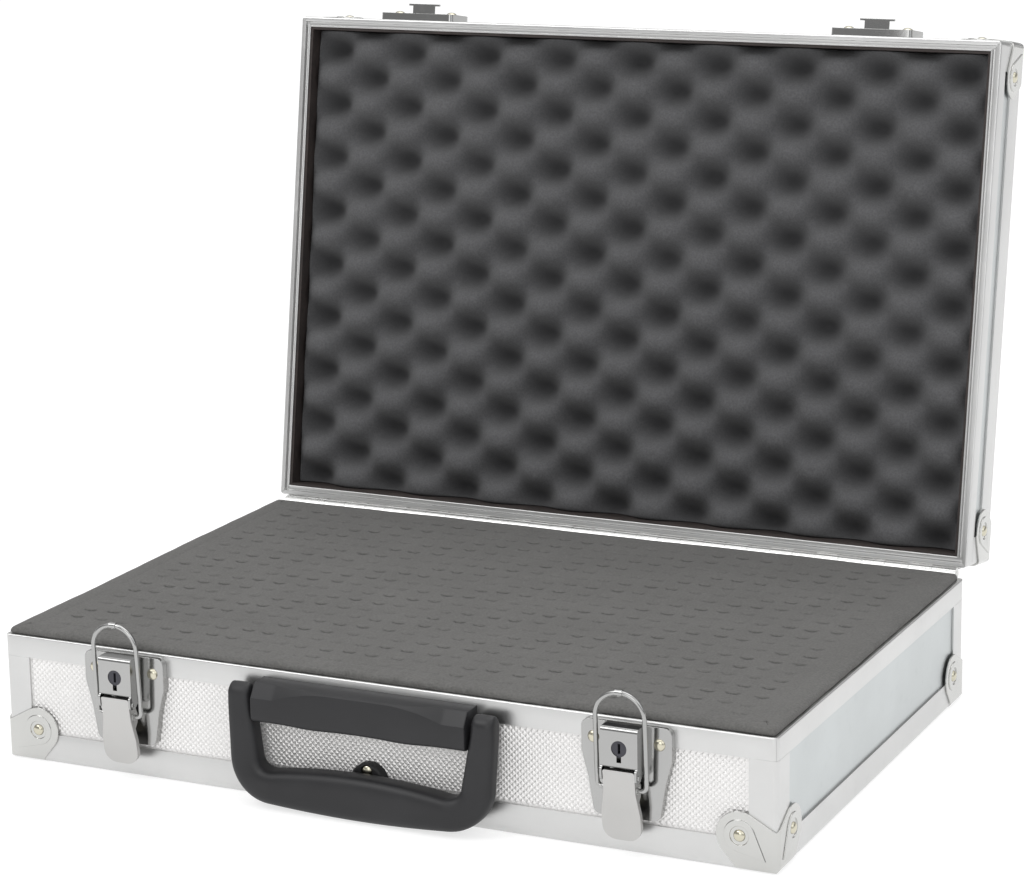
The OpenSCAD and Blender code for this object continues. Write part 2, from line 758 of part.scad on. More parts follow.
// Ears on two of the lid's knuckles that meet the base leaf when the lid is open
stop_knuckles = [2 * floor(knuckles / 8) + 1, knuckles - 2 - 2 * floor(knuckles / 8)];
module hinge_stops() {
    for (i = stop_knuckles)
        translate([-hinge_l / 2 + i * knuckle_pitch + knuckle_gap / 2, 0, 0])
            translate([0, hinge_y, hinge_z]) rotate([lid_open, 0, 0])
                difference() {
                    translate([0, -barrel_r - barrel_gap + leaf_t + stop_gap, -stop_l])
                        cube([knuckle_pitch - knuckle_gap, stop_t, stop_l]);
                    rotate([0, 90, 0]) translate([0, 0, -beyond])
                        cylinder(r = hinge_pin_r + run_gap, h = knuckle_pitch + beyond);
                }
}
module hinge_lid_leaf() {
    color(chrome) lid_pose() {
        hinge_leaf(1, 1);
        hinge_stops();
    }
}
module hinge_lid_rivets() { color(steel) lid_pose() leaf_rivet_places(1) rivet(leaf_t); }

// The handle

// Section of the bracket, as [distance in front of the wall, height]
module bracket_section() {
    top = base_h - bracket_drop;
    low = top - bracket_h;
    step = base_h - base_band;
    polygon(rounded([
        [-leg_t, low, 0], [-leg_t, step, 0], [0, step, 0], [0, top, 0], [bracket_ledge, top, bracket_ledge / 2],
        [bracket_d, top - bracket_slope, bracket_r], [bracket_d, low + bracket_r, bracket_r],
        [bracket_d - bracket_r - 1, low, bracket_r]
    ]));
}
module handle_bracket() {
    top = base_h - bracket_drop;
    pivot_z = base_h - pivot_drop;
    color(black) translate([0, -half_d, 0]) difference() {
        intersection() {
            across(bracket_l) bracket_section();
            translate([0, bracket_d, top - bracket_arch_r]) rotate([90, 0, 0])
                cylinder(r = bracket_arch_r, h = 3 * bracket_d, $fn = 200);
        }
        for (side = [-1, 1])
            translate([side * bracket_l / 2, -pivot_d, pivot_z]) rotate([0, side * -90, 0])
                translate([0, 0, -beyond])
                    cylinder(r = handle_pin_r + run_gap, h = handle_pin_l + beyond + arm_gap);
        // The sunk crescent along the front
        translate([0, -bracket_d - beyond, top - bracket_arch_r - crescent_drop]) rotate([-90, 0, 0])
            difference() {
                cylinder(r = bracket_arch_r, h = beyond + crescent_depth, $fn = 200);
                translate([0, crescent_h + crescent_bow, -beyond])
                    cylinder(r = bracket_arch_r + crescent_bow, h = 3 * beyond + crescent_depth, $fn = 200);
            }
    }
}

// The grip is lofted along its own bend from the bar's middle to the arm's end
grip_steps = 12;
grip_inner_x = bracket_l / 2 + arm_gap;
grip_outer_x = grip_inner_x + arm_w;
grip_low_z = base_h - grip_drop;
arm_top_z = base_h - pivot_drop + arm_rise;
arm_d = pivot_d + arm_lean;
bend_end_d = arm_d + bend_step;
bend_x = grip_outer_x - grip_r;
bend_z = grip_low_z + grip_r;
function blend(a, b, t) = a + (b - a) * t;
function smooth(t) = t * t * (3 - 2 * t);

// A ring's middle, the direction across it, its half height, its half depth and its place in front
function bar_ring(t) =
    let (tall = blend(bar_h, bar_end_h, t * t))
    [[blend(0, bend_x, t), grip_low_z + tall / 2], [0, -1], tall / 2, bar_depth / 2, bar_d];
function bend_ring(t) =
    let (
        angle = 90 * t,
        inner = blend(grip_r - bar_end_h, grip_r - arm_w, smooth(t)),
        mid = (grip_r + inner) / 2,
        out = [sin(angle), -cos(angle)]
    )
    [[bend_x, bend_z] + mid * out, out, (grip_r - inner) / 2,
     blend(bar_depth, arm_depth, t) / 2, blend(bar_d, bend_end_d, smooth(t))];
function arm_ring(t) =
    [[grip_outer_x - arm_w / 2, blend(bend_z, arm_top_z - arm_depth / 2, t)], [1, 0], arm_w / 2,
     arm_depth / 2, blend(bend_end_d, arm_d, t)];
// The arm's round end
function tip_ring(t) =
    let (angle = 80 * t)
    [[grip_outer_x - arm_w / 2, arm_top_z - arm_depth / 2 * (1 - sin(angle))], [1, 0],
     arm_w / 2 * (0.7 + 0.3 * cos(angle)), arm_depth / 2 * cos(angle), arm_d];
half_rings = concat(
    [for (i = [1:4]) bar_ring(i / 5)],
    [for (i = [0:6]) bend_ring(i / 6)],
    [for (i = [1:4]) arm_ring(i / 4)],
    [for (i = [1:3]) tip_ring(i / 3)]
);
function mirror_ring(r) = [[-r[0][0], r[0][1]], [-r[1][0], r[1][1]], r[2], r[3], r[4]];
grip_rings = concat(
    [for (i = [len(half_rings) - 1:-1:0]) mirror_ring(half_rings[i])],
    [bar_ring(0)],
    half_rings
);

// A rounded rectangle's radius at an angle, for half sizes of 1
function squircle(angle) = pow(pow(abs(cos(angle)), 3) + pow(abs(sin(angle)), 3), -1 / 3);
function ring_point(ring, k, turn) =
    let (
        angle = 360 * k / grip_steps,
        r = squircle(angle),
        u = ring[2] * r * cos(angle),
        v = ring[3] * r * sin(angle)
    )
    [ring[0][0] + u * ring[1][0], -ring[4] - v * turn, ring[0][1] + u * ring[1][1]];

module grip_loft() {
    n = len(grip_rings);
    m = grip_steps;
    points = [for (ring = grip_rings) for (k = [0:m - 1]) ring_point(ring, k, 1)];
    sides = [
        for (i = [0:n - 2]) for (k = [0:m - 1]) let (a = i * m + k, b = i * m + (k + 1) % m)
        each [[a, b, a + m], [b, b + m, a + m]]
    ];
    ends = [[for (k = [m - 1:-1:0]) k], [for (k = [0:m - 1]) (n - 1) * m + k]];
    polyhedron(points, concat(sides, ends));
}
module handle_grip() {
    color(black) translate([0, -half_d, 0]) {
        grip_loft();
        for (side = [-1, 1])
            translate([side * (bracket_l / 2 - handle_pin_l), -pivot_d, base_h - pivot_drop])
                rotate([0, side * 90, 0]) cylinder(r = handle_pin_r, h = handle_pin_l + arm_gap + handle_pin_r);
    }
}

// The bumper behind the grip bar, seated on the bottom band and the panel
module bumper() {
    color(black) translate([0, -half_d, base_h - bumper_drop]) difference() {
        union() {
            rotate([90, 0, 0]) cylinder(r = bumper_r, h = bumper_t - bumper_bevel);
            translate([0, -bumper_t + bumper_bevel, 0]) rotate([90, 0, 0])
                cylinder(r1 = bumper_r, r2 = bumper_r - bumper_bevel, h = bumper_bevel);
            intersection() {
                rotate([-90, 0, 0]) cylinder(r = bumper_r, h = leg_t);
                translate([-bumper_r, 0, bottom_band - base_h + bumper_drop]) cube(2 * bumper_r);
            }
        }
        bumper_rivet_places() {
            cylinder(r = rivet_head_r + 2 * rivet_slack, h = bumper_t);
            rivet_hole(bumper_t);
        }
    }
}
module bumper_rivet_places() {
    for (side = [-1, 1])
        translate([0, -bumper_t + rivet_head_h + rivet_sink, side * bumper_rivet]) rotate([90, 0, 0]) children();
}
module bumper_rivets() {
    color(brassy) translate([0, -half_d, base_h - bumper_drop]) bumper_rivet_places()
        rivet(bumper_t - rivet_head_h - rivet_sink);
}

// The latches. They are drawn at x = 0 with the wall at y = 0.

plate_half = plate_w / 2;
plate_foot_half = plate_foot_w / 2;
plate_top = base_h - plate_drop;
lever_z = base_h - lever_drop;
bail_z = base_h - bail_drop;
lock_z = base_h - lock_drop;
lever_inner = housing_w / 2 - sheet_t - lever_side_gap;
flange_half = lever_inner;

// Outline of the latch plate, drawn in by a wall
module plate_outline(wall = 0) {
    low = plate_top - plate_h;
    polygon(rounded(both_halves([
        [plate_half - wall, plate_top - wall, plate_r - wall],
        [plate_half - wall, plate_top - plate_shoulder, 1.5 * plate_r],
        [plate_foot_half + plate_flare - wall, plate_top - plate_waist, 3 * plate_r],
        [plate_foot_half - wall, low + wall, plate_r - wall]
    ])));
}
module latch_plate() {
    color(chrome) difference() {
        outward(-leg_t, plate_d) plate_outline();
        outward(-leg_t - beyond, plate_d - sheet_t) plate_outline(sheet_t);
        // The base rim's band behind the plate's upper part
        translate([-plate_w, 0, base_h - base_band - mitre_gap])
            cube([2 * plate_w, leg_t + beyond, base_band + beyond]);
        latch_rivet_places() rivet_hole(sheet_t);
    }
}
module latch_rivet_places() {
    for (x = [-1, 1])
        translate([x * latch_rivet_x, -plate_d, base_h - latch_rivet_drop]) rotate([90, 0, 0]) children();
    translate([0, -plate_d, plate_top - plate_h + foot_rivet_rise]) rotate([90, 0, 0]) children();
}
module latch_rivets() { color(brassy) latch_rivet_places() rivet(sheet_t + rivet_tail); }

// The housing: a box open below and behind, with ears for the lever's pin
module lock_housing() {
    top = base_h - housing_drop;
    foot = base_h - housing_foot;
    half = housing_w / 2;
    side = [
        [plate_d, top, 0], [housing_d, top, housing_r], [housing_d, foot, housing_r / 2],
        [lever_d + ear_r, foot - 1, housing_r / 2], [lever_d + ear_r, lever_z - ear_r, 0.9 * ear_r],
        [lever_d - ear_r, lever_z - ear_r, 0.9 * ear_r],
        [plate_d + housing_r, foot - web_drop, 1.5 * housing_r], [plate_d, foot - web_drop, 0]
    ];
    color(chrome) difference() {
        across(housing_w) polygon(rounded(side));
        across(housing_w - 2 * sheet_t) polygon(rounded([
            [plate_d - beyond, top - sheet_t, 0], [housing_d - sheet_t, top - sheet_t, housing_r - sheet_t],
            [housing_d - sheet_t, foot, 0], [2 * housing_d, foot, 0],
            [2 * housing_d, 0, 0], [plate_d - beyond, 0, 0]
        ]));
        // The keyhole and the bore for the lever's pin
        translate([0, -plate_d - beyond, lock_z]) rotate([90, 0, 0])
            cylinder(r = plug_r + run_gap, h = housing_d);
        translate([-key_slot_w / 2, -housing_d - beyond, lock_z - key_slot_l])
            cube([key_slot_w, sheet_t + 2 * beyond, key_slot_l]);
        translate([-half - beyond, -lever_d, lever_z]) rotate([0, 90, 0])
            cylinder(r = lever_pin_r + run_gap, h = housing_w + 2 * beyond);
    }
}
module lever_pin() {
    length = housing_w + 2 * lever_pin_proud;
    color(steel) translate([-length / 2, -lever_d, lever_z]) rotate([0, 90, 0])
        cylinder(r = lever_pin_r, h = length);
}

// The lever: a curved face with turned edges and two flanges for its pins
module lever_outline(wall = 0) {
    half = lever_inner - wall;
    foot = lever_foot_w / 2 - wall;
    polygon(rounded(both_halves([
        [half, -wall, lever_r / 2], [half, -lever_shoulder, 6 * lever_r],
        [foot, -2 * lever_shoulder, 6 * lever_r], [foot, -lever_l + wall, 3 * lever_r]
    ])));
}
module lever_face_pose() {
    translate([0, -lever_top_d, base_h - lever_top_drop]) rotate([lever_slope, 0, 0]) children();
}
// Distance in front of the wall of the middle of the lever's face, at a distance below its top
function face_d(below) = lever_top_d - sheet_t / 2 - below * tan(lever_slope);
module latch_lever() {
    bore = bush_r + run_gap;
    back_d = bail_d - bore - bore_wall;
    lever_top_z = base_h - lever_top_drop;
    color(chrome) difference() {
        union() {
            lever_face_pose() difference() {
                rotate([90, 0, 0]) translate([0, 0, -lever_rim]) linear_extrude(lever_rim) lever_outline();
                rotate([90, 0, 0]) translate([0, 0, -lever_rim - beyond]) linear_extrude(lever_rim + beyond - sheet_t)
                    lever_outline(sheet_t);
            }
            for (side = [-1, 1]) translate([side * (flange_half - sheet_t / 2), 0, 0])
                across(sheet_t) polygon(rounded([
                    [face_d(1), lever_top_z - 1, 0], [lever_d - ear_r, lever_z + ear_r, lever_r],
                    [back_d, bail_z + 1, lever_r], [back_d, bail_z - bore - bore_wall, lever_r],
                    [bail_d, bail_z - 9, lever_r], [face_d(20), lever_top_z - 20, 0]
                ]));
        }
        translate([-lever_foot_w, -lever_d, lever_z]) rotate([0, 90, 0])
            cylinder(r = lever_pin_r + run_gap, h = 2 * lever_foot_w);
        translate([-lever_foot_w, -bail_d, bail_z]) rotate([0, 90, 0]) cylinder(r = bore, h = 2 * lever_foot_w);
    }
}
bush_r = wire_r + run_gap + bush_t;
ferrule_r = wire_r + ferrule_t;
module bail_bushes() {
    length = sheet_t + 2 * lever_side_gap;
    color(steel) for (side = [-1, 1])
        translate([side * (flange_half + lever_side_gap), -bail_d, bail_z]) rotate([0, side * -90, 0])
            difference() {
                cylinder(r = bush_r, h = length);
                translate([0, 0, -beyond]) cylinder(r = wire_r + run_gap, h = length + 2 * beyond);
            }
}

// The bail: an arch of wire with legs, lower bends and ends turned into the bushes
module latch_bail() {
    spring_z = base_h + bail_rise - bail_x;
    end_x = flange_half - sheet_t - bail_end_l;
    color(chrome) translate([0, -bail_d, bail_z]) rotate([bail_lean, 0, 0]) translate([0, 0, -bail_z]) {
        translate([0, 0, spring_z]) rotate([90, 0, 0]) rotate_extrude(angle = 180)
            translate([bail_x, 0]) circle(wire_r);
        for (side = [-1, 1]) {
            translate([side * bail_x, 0, bail_z + bail_bend_r])
                cylinder(r = wire_r, h = spring_z - bail_z - bail_bend_r);
            translate([side * (bail_x - bail_bend_r), 0, bail_z + bail_bend_r]) rotate([90, 0, 0])
                rotate(side > 0 ? -90 : 180) rotate_extrude(angle = 90)
                    translate([bail_bend_r, 0]) circle(wire_r);
            translate([side * end_x, 0, bail_z]) rotate([0, side * 90, 0]) {
                cylinder(r = wire_r, h = bail_x - bail_bend_r - end_x);
                cylinder(r = ferrule_r, h = bail_end_l / 2);
            }
        }
        // The ferrule over the wire's joint
        translate([-ferrule_l / 2, 0, base_h + bail_rise]) rotate([0, 90, 0])
            cylinder(r = ferrule_r, h = ferrule_l);
    }
}

// The lock plug with its cam and tail, drawn along the axis from the front
module lock_plug() {
    front = housing_d - plug_sink;
    collar_d = housing_d - sheet_t - plug_sink;
    color(plug_grey) translate([0, 0, lock_z]) difference() {
        union() {
            turned(front, collar_d, plug_r);
            turned(collar_d, plate_d + cam_d, plug_r + plug_collar);
            turned(plate_d + cam_d, plate_d + plug_sink, tail_r);
            lock_cam();
        }
        translate([-key_w / 2, -front - beyond, -key_h / 2]) cube([key_w, key_l + beyond, key_h]);
    }
}
// A round length about the y axis between two distances in front of the wall
module turned(far, near, r) { translate([0, -near, 0]) rotate([90, 0, 0]) cylinder(r = r, h = far - near); }
module lock_cam() {
    outward(plate_d + cam_d - cam_t / 2, plate_d + cam_d + cam_t / 2) {
        translate([0, -cam_w / 2]) square([cam_l - cam_w / 2, cam_w]);
        translate([cam_l - cam_w / 2, 0]) circle(cam_w / 2);
    }
}
module lock_carrier() {
    color(steel) translate([0, 0, lock_z]) difference() {
        translate([-carrier_w / 2, -plate_d - carrier_t, -carrier_h / 2]) cube([carrier_w, carrier_t, carrier_h]);
        turned(plate_d + cam_d, plate_d - beyond, tail_r + run_gap);
    }
}

// The lid, drawn shut

module lid_top_panel() {
    color(facing) lid_pose() large_panel(top_z - panel_t);
}
module lid_front_panel() { color(facing) lid_pose() wall_panel_x(-1, lid_z + lid_rim_t, top_z - flange_t); }
module lid_back_panel() { color(facing) lid_pose() wall_panel_x(1, lid_z + lid_rim_t, top_z - flange_t); }
module lid_left_panel() { color(facing) lid_pose() side_panel(-1, lid_z + lid_rim_t, top_z - flange_t); }
module lid_right_panel() { color(facing) lid_pose() side_panel(1, lid_z + lid_rim_t, top_z - flange_t); }

module lid_rim_section() {
    low = lid_z;
    inner = rim_w - leg_t;
    polygon(rounded([
        [0, low + lid_band, 0], [leg_t, low + lid_band, 0], [leg_t, low + lid_rim_t, 0],
        [inner, low + lid_rim_t, 0], [inner, low + inner_leg, 0], [rim_w, low + inner_leg, 0],
        [rim_w, low, 0.4], [tongue_u + groove_w / 2, low, 0], [tongue_u + groove_w / 2, low + groove_depth, 0.3],
        [tongue_u - groove_w / 2, low + groove_depth, 0.3], [tongue_u - groove_w / 2, low, 0], [0, low, 0.9]
    ], 3));
}
module lid_rim() { color(satin) lid_pose() frame_ring(lid_z, lid_z + lid_band) lid_rim_section(); }
module lid_top_edges() {
    color(satin) lid_pose() translate([0, 0, top_z]) mirror([0, 0, 1]) frame_ring(0, top_band)
        edge_section(top_band);
}
module lid_corner_posts() { color(satin) lid_pose() corner_posts(lid_z + lid_band, top_z - top_band); }
module lid_corner_guards() { color(steel) lid_pose() lid_guard_places() corner_guard(true); }
module lid_guard_rivets() { color(brassy) lid_pose() lid_guard_places() guard_rivet_places(true) rivet(guard_t); }
module lid_lining() { color(board) lid_pose() lining(top_z - panel_t, lid_z + lining_drop); }

// The foam's edges and the lines between them where the waves cross their middle height
function level_lines(half, pitch, at) =
    let (
        step = pitch / 2,
        first = ceil((-half + step / 2 - at) / step - 0.5),
        last = floor((half - step / 2 - at) / step - 0.5)
    )
    concat([-half], [for (i = [first:last]) at + (i + 0.5) * step], [half]);
foam_xs = level_lines(foam_w / 2, crest_pitch_x, crest_x);
foam_ys = level_lines(foam_d / 2, crest_pitch_y, crest_y);
foam_back_z = top_z - panel_t - lining_t - foam_gap;
function crest_z(x, y) =
    lid_z + crest_drop + crest_h / 2
    - crest_h / 2 * cos(360 * (x - crest_x) / crest_pitch_x) * cos(360 * (y - crest_y) / crest_pitch_y);
function on_face(p) = [p[0], p[1], crest_z(p[0], p[1])];
function on_back(p) = [p[0], p[1], foam_back_z];

// Triangles of one side of a cell, up to its middle; a side on the foam's edge also gets its wall
function cell_side(a, b, middle, at_edge) =
    let (c = on_face(middle), half_way = (a + b) / 2)
    !at_edge ? [[on_face(a), on_face(b), c]] :
    [for (e = [[a, half_way], [half_way, b]]) each [
        [on_face(e[0]), on_face(e[1]), c],
        [on_face(e[1]), on_face(e[0]), on_back(e[0])],
        [on_face(e[1]), on_back(e[0]), on_back(e[1])],
        [on_back(e[1]), on_back(e[0]), [0, 0, foam_back_z]]
    ]];
// A cell between four lines rises or sinks to its middle
function foam_cell(i, j) =
    let (
        low = [foam_xs[i], foam_ys[j]],
        high = [foam_xs[i + 1], foam_ys[j + 1]],
        middle = (low + high) / 2,
        at_edge = [j == 0, i == len(foam_xs) - 2, j == len(foam_ys) - 2, i == 0],
        corners = [low, [high[0], low[1]], high, [low[0], high[1]]]
    )
    [for (k = [0:3]) each cell_side(corners[k], corners[(k + 1) % 4], middle, at_edge[k])];

module lid_foam() {
    triangles = [for (i = [0:len(foam_xs) - 2]) for (j = [0:len(foam_ys) - 2]) each foam_cell(i, j)];
    color(foam_dark) lid_pose() polyhedron(
        [for (t = triangles) each t],
        [for (i = [0:len(triangles) - 1]) [3 * i, 3 * i + 1, 3 * i + 2]]
    );
}

// A strike: a pressed plate with a hook for the bail and an opening under the hook
module strike() {
    low = lid_z + strike_rise;
    high = low + strike_h;
    ledge = lid_z + ledge_rise;
    band = lid_z + lid_band;
    color(chrome) {
        difference() {
            outward(-leg_t, strike_d) strike_outline(low, high);
            outward(-leg_t - beyond, strike_d - sheet_t) strike_outline(low, high, sheet_t);
            translate([-plate_w, 0, low - beyond])
                cube([2 * plate_w, leg_t + beyond, band - low + beyond + mitre_gap]);
            translate([-plate_w, 0, top_z - top_band - mitre_gap]) cube([2 * plate_w, leg_t + beyond, top_band]);
            // The opening that the hook was pressed out of
            translate([-hook_w / 2, -strike_d - beyond, low + strike_border])
                cube([hook_w, strike_d + 2 * beyond, ledge - hook_t - low - strike_border]);
            strike_rivet_places() rivet_hole(sheet_t);
        }
        // The hook's ledge follows the bail's arch, and its lip keeps the wire in
        outward(strike_d - sheet_t, hook_d) hook_outline(0);
        outward(hook_d - sheet_t, hook_d) hook_outline(lip_h);
    }
}
module hook_outline(grow) {
    arch_z = base_h + bail_rise - bail_x;
    ledge_z = lid_z + ledge_rise;
    intersection() {
        translate([0, arch_z]) circle(ledge_z - arch_z + grow);
        translate([-hook_w / 2, ledge_z - hook_t]) square([hook_w, hook_t + lip_h]);
    }
}
module strike_outline(low, high, wall = 0) {
    polygon(rounded(both_halves([
        [plate_half - wall, high - wall, strike_r - wall], [plate_half - wall, low + wall, strike_r / 2]
    ])));
}
module strike_rivet_places() {
    for (x = [-1, 1])
        translate([x * latch_rivet_x, -strike_d, lid_z + strike_rise + strike_h / 2]) rotate([90, 0, 0]) children();
}

module left_latch_plate() { latch_at(-1) latch_plate(); }
module left_lock_housing() { latch_at(-1) lock_housing(); }
module left_latch_lever() { latch_at(-1) latch_lever(); }
module left_lever_pin() { latch_at(-1) lever_pin(); }
module left_bail_bushes() { latch_at(-1) bail_bushes(); }
module left_latch_bail() { latch_at(-1) latch_bail(); }
module left_lock_plug() { latch_at(-1) lock_plug(); }
module left_lock_carrier() { latch_at(-1) lock_carrier(); }
module left_latch_rivets() { latch_at(-1) latch_rivets(); }
module right_latch_plate() { latch_at(1) latch_plate(); }
module right_lock_housing() { latch_at(1) lock_housing(); }
module right_latch_lever() { latch_at(1) latch_lever(); }
module right_lever_pin() { latch_at(1) lever_pin(); }
module right_bail_bushes() { latch_at(1) bail_bushes(); }
module right_latch_bail() { latch_at(1) latch_bail(); }
module right_lock_plug() { latch_at(1) lock_plug(); }
module right_lock_carrier() { latch_at(1) lock_carrier(); }
module right_latch_rivets() { latch_at(1) latch_rivets(); }
module left_strike() { lid_pose() latch_at(-1) strike(); }
module right_strike() { lid_pose() latch_at(1) strike(); }
module strike_rivets() {
    color(brassy) lid_pose() for (side = [-1, 1]) latch_at(side) strike_rivet_places() rivet(sheet_t + rivet_tail);
}

base_front_panel();
base_back_panel();
base_left_panel();
base_right_panel();
base_bottom_panel();
base_rim();
base_bottom_edges();
base_corner_posts();
base_corner_guards();
base_guard_rivets();
base_lining();
base_foam();
hinge_base_leaf();
hinge_pin();
hinge_base_rivets();
handle_bracket();
handle_grip();
bumper();
bumper_rivets();
left_latch_plate();
left_lock_housing();
left_latch_lever();
left_lever_pin();
left_bail_bushes();
left_latch_bail();
left_lock_plug();
left_lock_carrier();
left_latch_rivets();
right_latch_plate();
right_lock_housing();
right_latch_lever();
right_lever_pin();
right_bail_bushes();
right_latch_bail();
right_lock_plug();
right_lock_carrier();
right_latch_rivets();
lid_top_panel();
lid_front_panel();
lid_back_panel();
lid_left_panel();
lid_right_panel();
lid_rim();
lid_top_edges();
lid_corner_posts();
lid_corner_guards();
lid_guard_rivets();
lid_lining();
lid_foam();
hinge_lid_leaf();
hinge_lid_rivets();
left_strike();
right_strike();
strike_rivets();
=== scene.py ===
"""Dresses the laptop hard case: metal, foam, moulded handle, latches and a plain studio."""

import json
import logging
import math
from contextlib import contextmanager
from dataclasses import dataclass
from enum import Enum
from typing import Iterable, Iterator, Sequence

import bmesh
import bpy
import numpy as np
from mathutils import Matrix, Vector

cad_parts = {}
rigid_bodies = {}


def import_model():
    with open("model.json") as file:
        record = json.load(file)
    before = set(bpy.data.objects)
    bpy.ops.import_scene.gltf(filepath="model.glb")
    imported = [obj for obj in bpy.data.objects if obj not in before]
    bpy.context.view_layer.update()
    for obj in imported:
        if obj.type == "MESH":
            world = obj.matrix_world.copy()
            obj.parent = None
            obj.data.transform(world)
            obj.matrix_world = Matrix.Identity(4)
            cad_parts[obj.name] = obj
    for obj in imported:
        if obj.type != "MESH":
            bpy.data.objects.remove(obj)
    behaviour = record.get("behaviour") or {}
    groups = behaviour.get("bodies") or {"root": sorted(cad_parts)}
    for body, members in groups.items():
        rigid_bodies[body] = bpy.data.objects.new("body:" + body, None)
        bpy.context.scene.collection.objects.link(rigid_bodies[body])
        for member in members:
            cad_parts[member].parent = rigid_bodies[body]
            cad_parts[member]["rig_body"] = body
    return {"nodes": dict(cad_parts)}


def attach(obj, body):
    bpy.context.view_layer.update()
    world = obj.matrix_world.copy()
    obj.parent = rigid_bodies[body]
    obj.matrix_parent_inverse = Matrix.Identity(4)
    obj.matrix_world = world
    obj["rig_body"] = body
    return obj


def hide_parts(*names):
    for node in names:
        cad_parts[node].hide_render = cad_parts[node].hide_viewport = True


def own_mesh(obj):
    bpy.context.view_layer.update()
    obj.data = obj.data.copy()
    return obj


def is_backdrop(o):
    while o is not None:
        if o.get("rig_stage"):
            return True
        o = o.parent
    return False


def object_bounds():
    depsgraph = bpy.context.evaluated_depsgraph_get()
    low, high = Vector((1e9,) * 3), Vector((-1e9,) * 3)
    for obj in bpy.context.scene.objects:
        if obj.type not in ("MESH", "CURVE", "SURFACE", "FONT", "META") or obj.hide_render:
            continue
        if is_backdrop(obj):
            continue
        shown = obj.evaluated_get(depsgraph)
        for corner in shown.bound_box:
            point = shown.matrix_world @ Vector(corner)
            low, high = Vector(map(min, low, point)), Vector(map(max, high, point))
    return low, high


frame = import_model()
CAD_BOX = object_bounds()
LOG = logging.getLogger("hard_case")
MM = 0.001
SAME_POINT = 0.002 * MM
Colour = tuple[float, float, float]
Point = tuple[float, float, float]


class Grain(Enum):
    """The direction in which a sheet was rolled or a profile was drawn."""

    ALONG_X = (0.04, 1.0, 1.0)
    ALONG_Y = (1.0, 0.04, 1.0)
    NONE = (1.0, 1.0, 1.0)


class Value:
    """A number in a node tree that adds Math nodes when it is used in an expression."""

    def __init__(self, tree: bpy.types.NodeTree, socket: bpy.types.NodeSocket) -> None:
        """Wraps a socket of a tree."""
        self.tree = tree
        self.socket = socket

    def join(self, operation: str, *inputs: "Value | float") -> "Value":
        """Adds a Math node.

        Args:
            operation: the Math node's operation.
            inputs: its inputs in order, as values or numbers.

        Returns:
            The node's result.
        """
        node = self.tree.nodes.new("ShaderNodeMath")
        node.operation = operation
        for target, given in zip(node.inputs, inputs):
            if isinstance(given, Value):
                self.tree.links.new(given.socket, target)
            else:
                target.default_value = given
        return Value(self.tree, node.outputs[0])

    def math(self, operation: str, *others: "Value | float") -> "Value":
        """Applies an operation to this value, with others after it."""
        return self.join(operation, self, *others)

    def __add__(self, other: "Value | float") -> "Value":
        """The sum."""
        return self.math("ADD", other)

    __radd__ = __add__

    def __sub__(self, other: "Value | float") -> "Value":
        """The difference."""
        return self.math("SUBTRACT", other)

    def __rsub__(self, other: float) -> "Value":
        """A number less this value."""
        return self.join("SUBTRACT", other, self)

    def __mul__(self, other: "Value | float") -> "Value":
        """The product."""
        return self.math("MULTIPLY", other)

    __rmul__ = __mul__

    def __pow__(self, other: float) -> "Value":
        """This value to a power."""
        return self.math("POWER", other)

    def ramp(self, low: float, high: float) -> "Value":
        """Goes smoothly from 0 at one value to 1 at another.

        Args:
            low: the value that gives 0.
            high: the value that gives 1.

        Returns:
            The ramp, held between 0 and 1.
        """
        node = self.tree.nodes.new("ShaderNodeMapRange")
        node.interpolation_type = "SMOOTHSTEP"
        self.tree.links.new(self.socket, node.inputs["Value"])
        node.inputs["From Min"].default_value = low
        node.inputs["From Max"].default_value = high
        return Value(self.tree, node.outputs["Result"])


class Nodes:
    """A node tree whose nodes are added by short calls."""

    def __init__(self, tree: bpy.types.NodeTree) -> None:
        """Keeps the tree."""
        self.tree = tree

    def node(self, kind: str, settings: dict | None = None, **sockets: object) -> bpy.types.Node:
        """Adds a node.

        Args:
            kind: the node's type.
            settings: its own settings, which are set first.
            sockets: its inputs by name, with _ for a space, as links or numbers.

        Returns:
            The node.
        """
        made = self.tree.nodes.new(kind)
        for key, setting in (settings or {}).items():
            setattr(made, key, setting)
        for key, given in sockets.items():
            self.connect(made.inputs[key.replace("_", " ")], given)
        return made

    def connect(self, target: bpy.types.NodeSocket, given: object) -> None:
        """Links or sets one input.

        Args:
            target: the input.
            given: a value, a socket or a plain number, colour or data block.
        """
        if isinstance(given, Value):
            given = given.socket
        if isinstance(given, bpy.types.NodeSocket):
            self.tree.links.new(given, target)
        else:
            target.default_value = given

    def value(self, socket: bpy.types.NodeSocket) -> Value:
        """Wraps a socket for use in an expression."""
        return Value(self.tree, socket)

    def parts(self, vector: bpy.types.NodeSocket) -> list[Value]:
        """The X, Y and Z of a vector."""
        return [self.value(socket) for socket in self.node("ShaderNodeSeparateXYZ", None, Vector=vector).outputs]


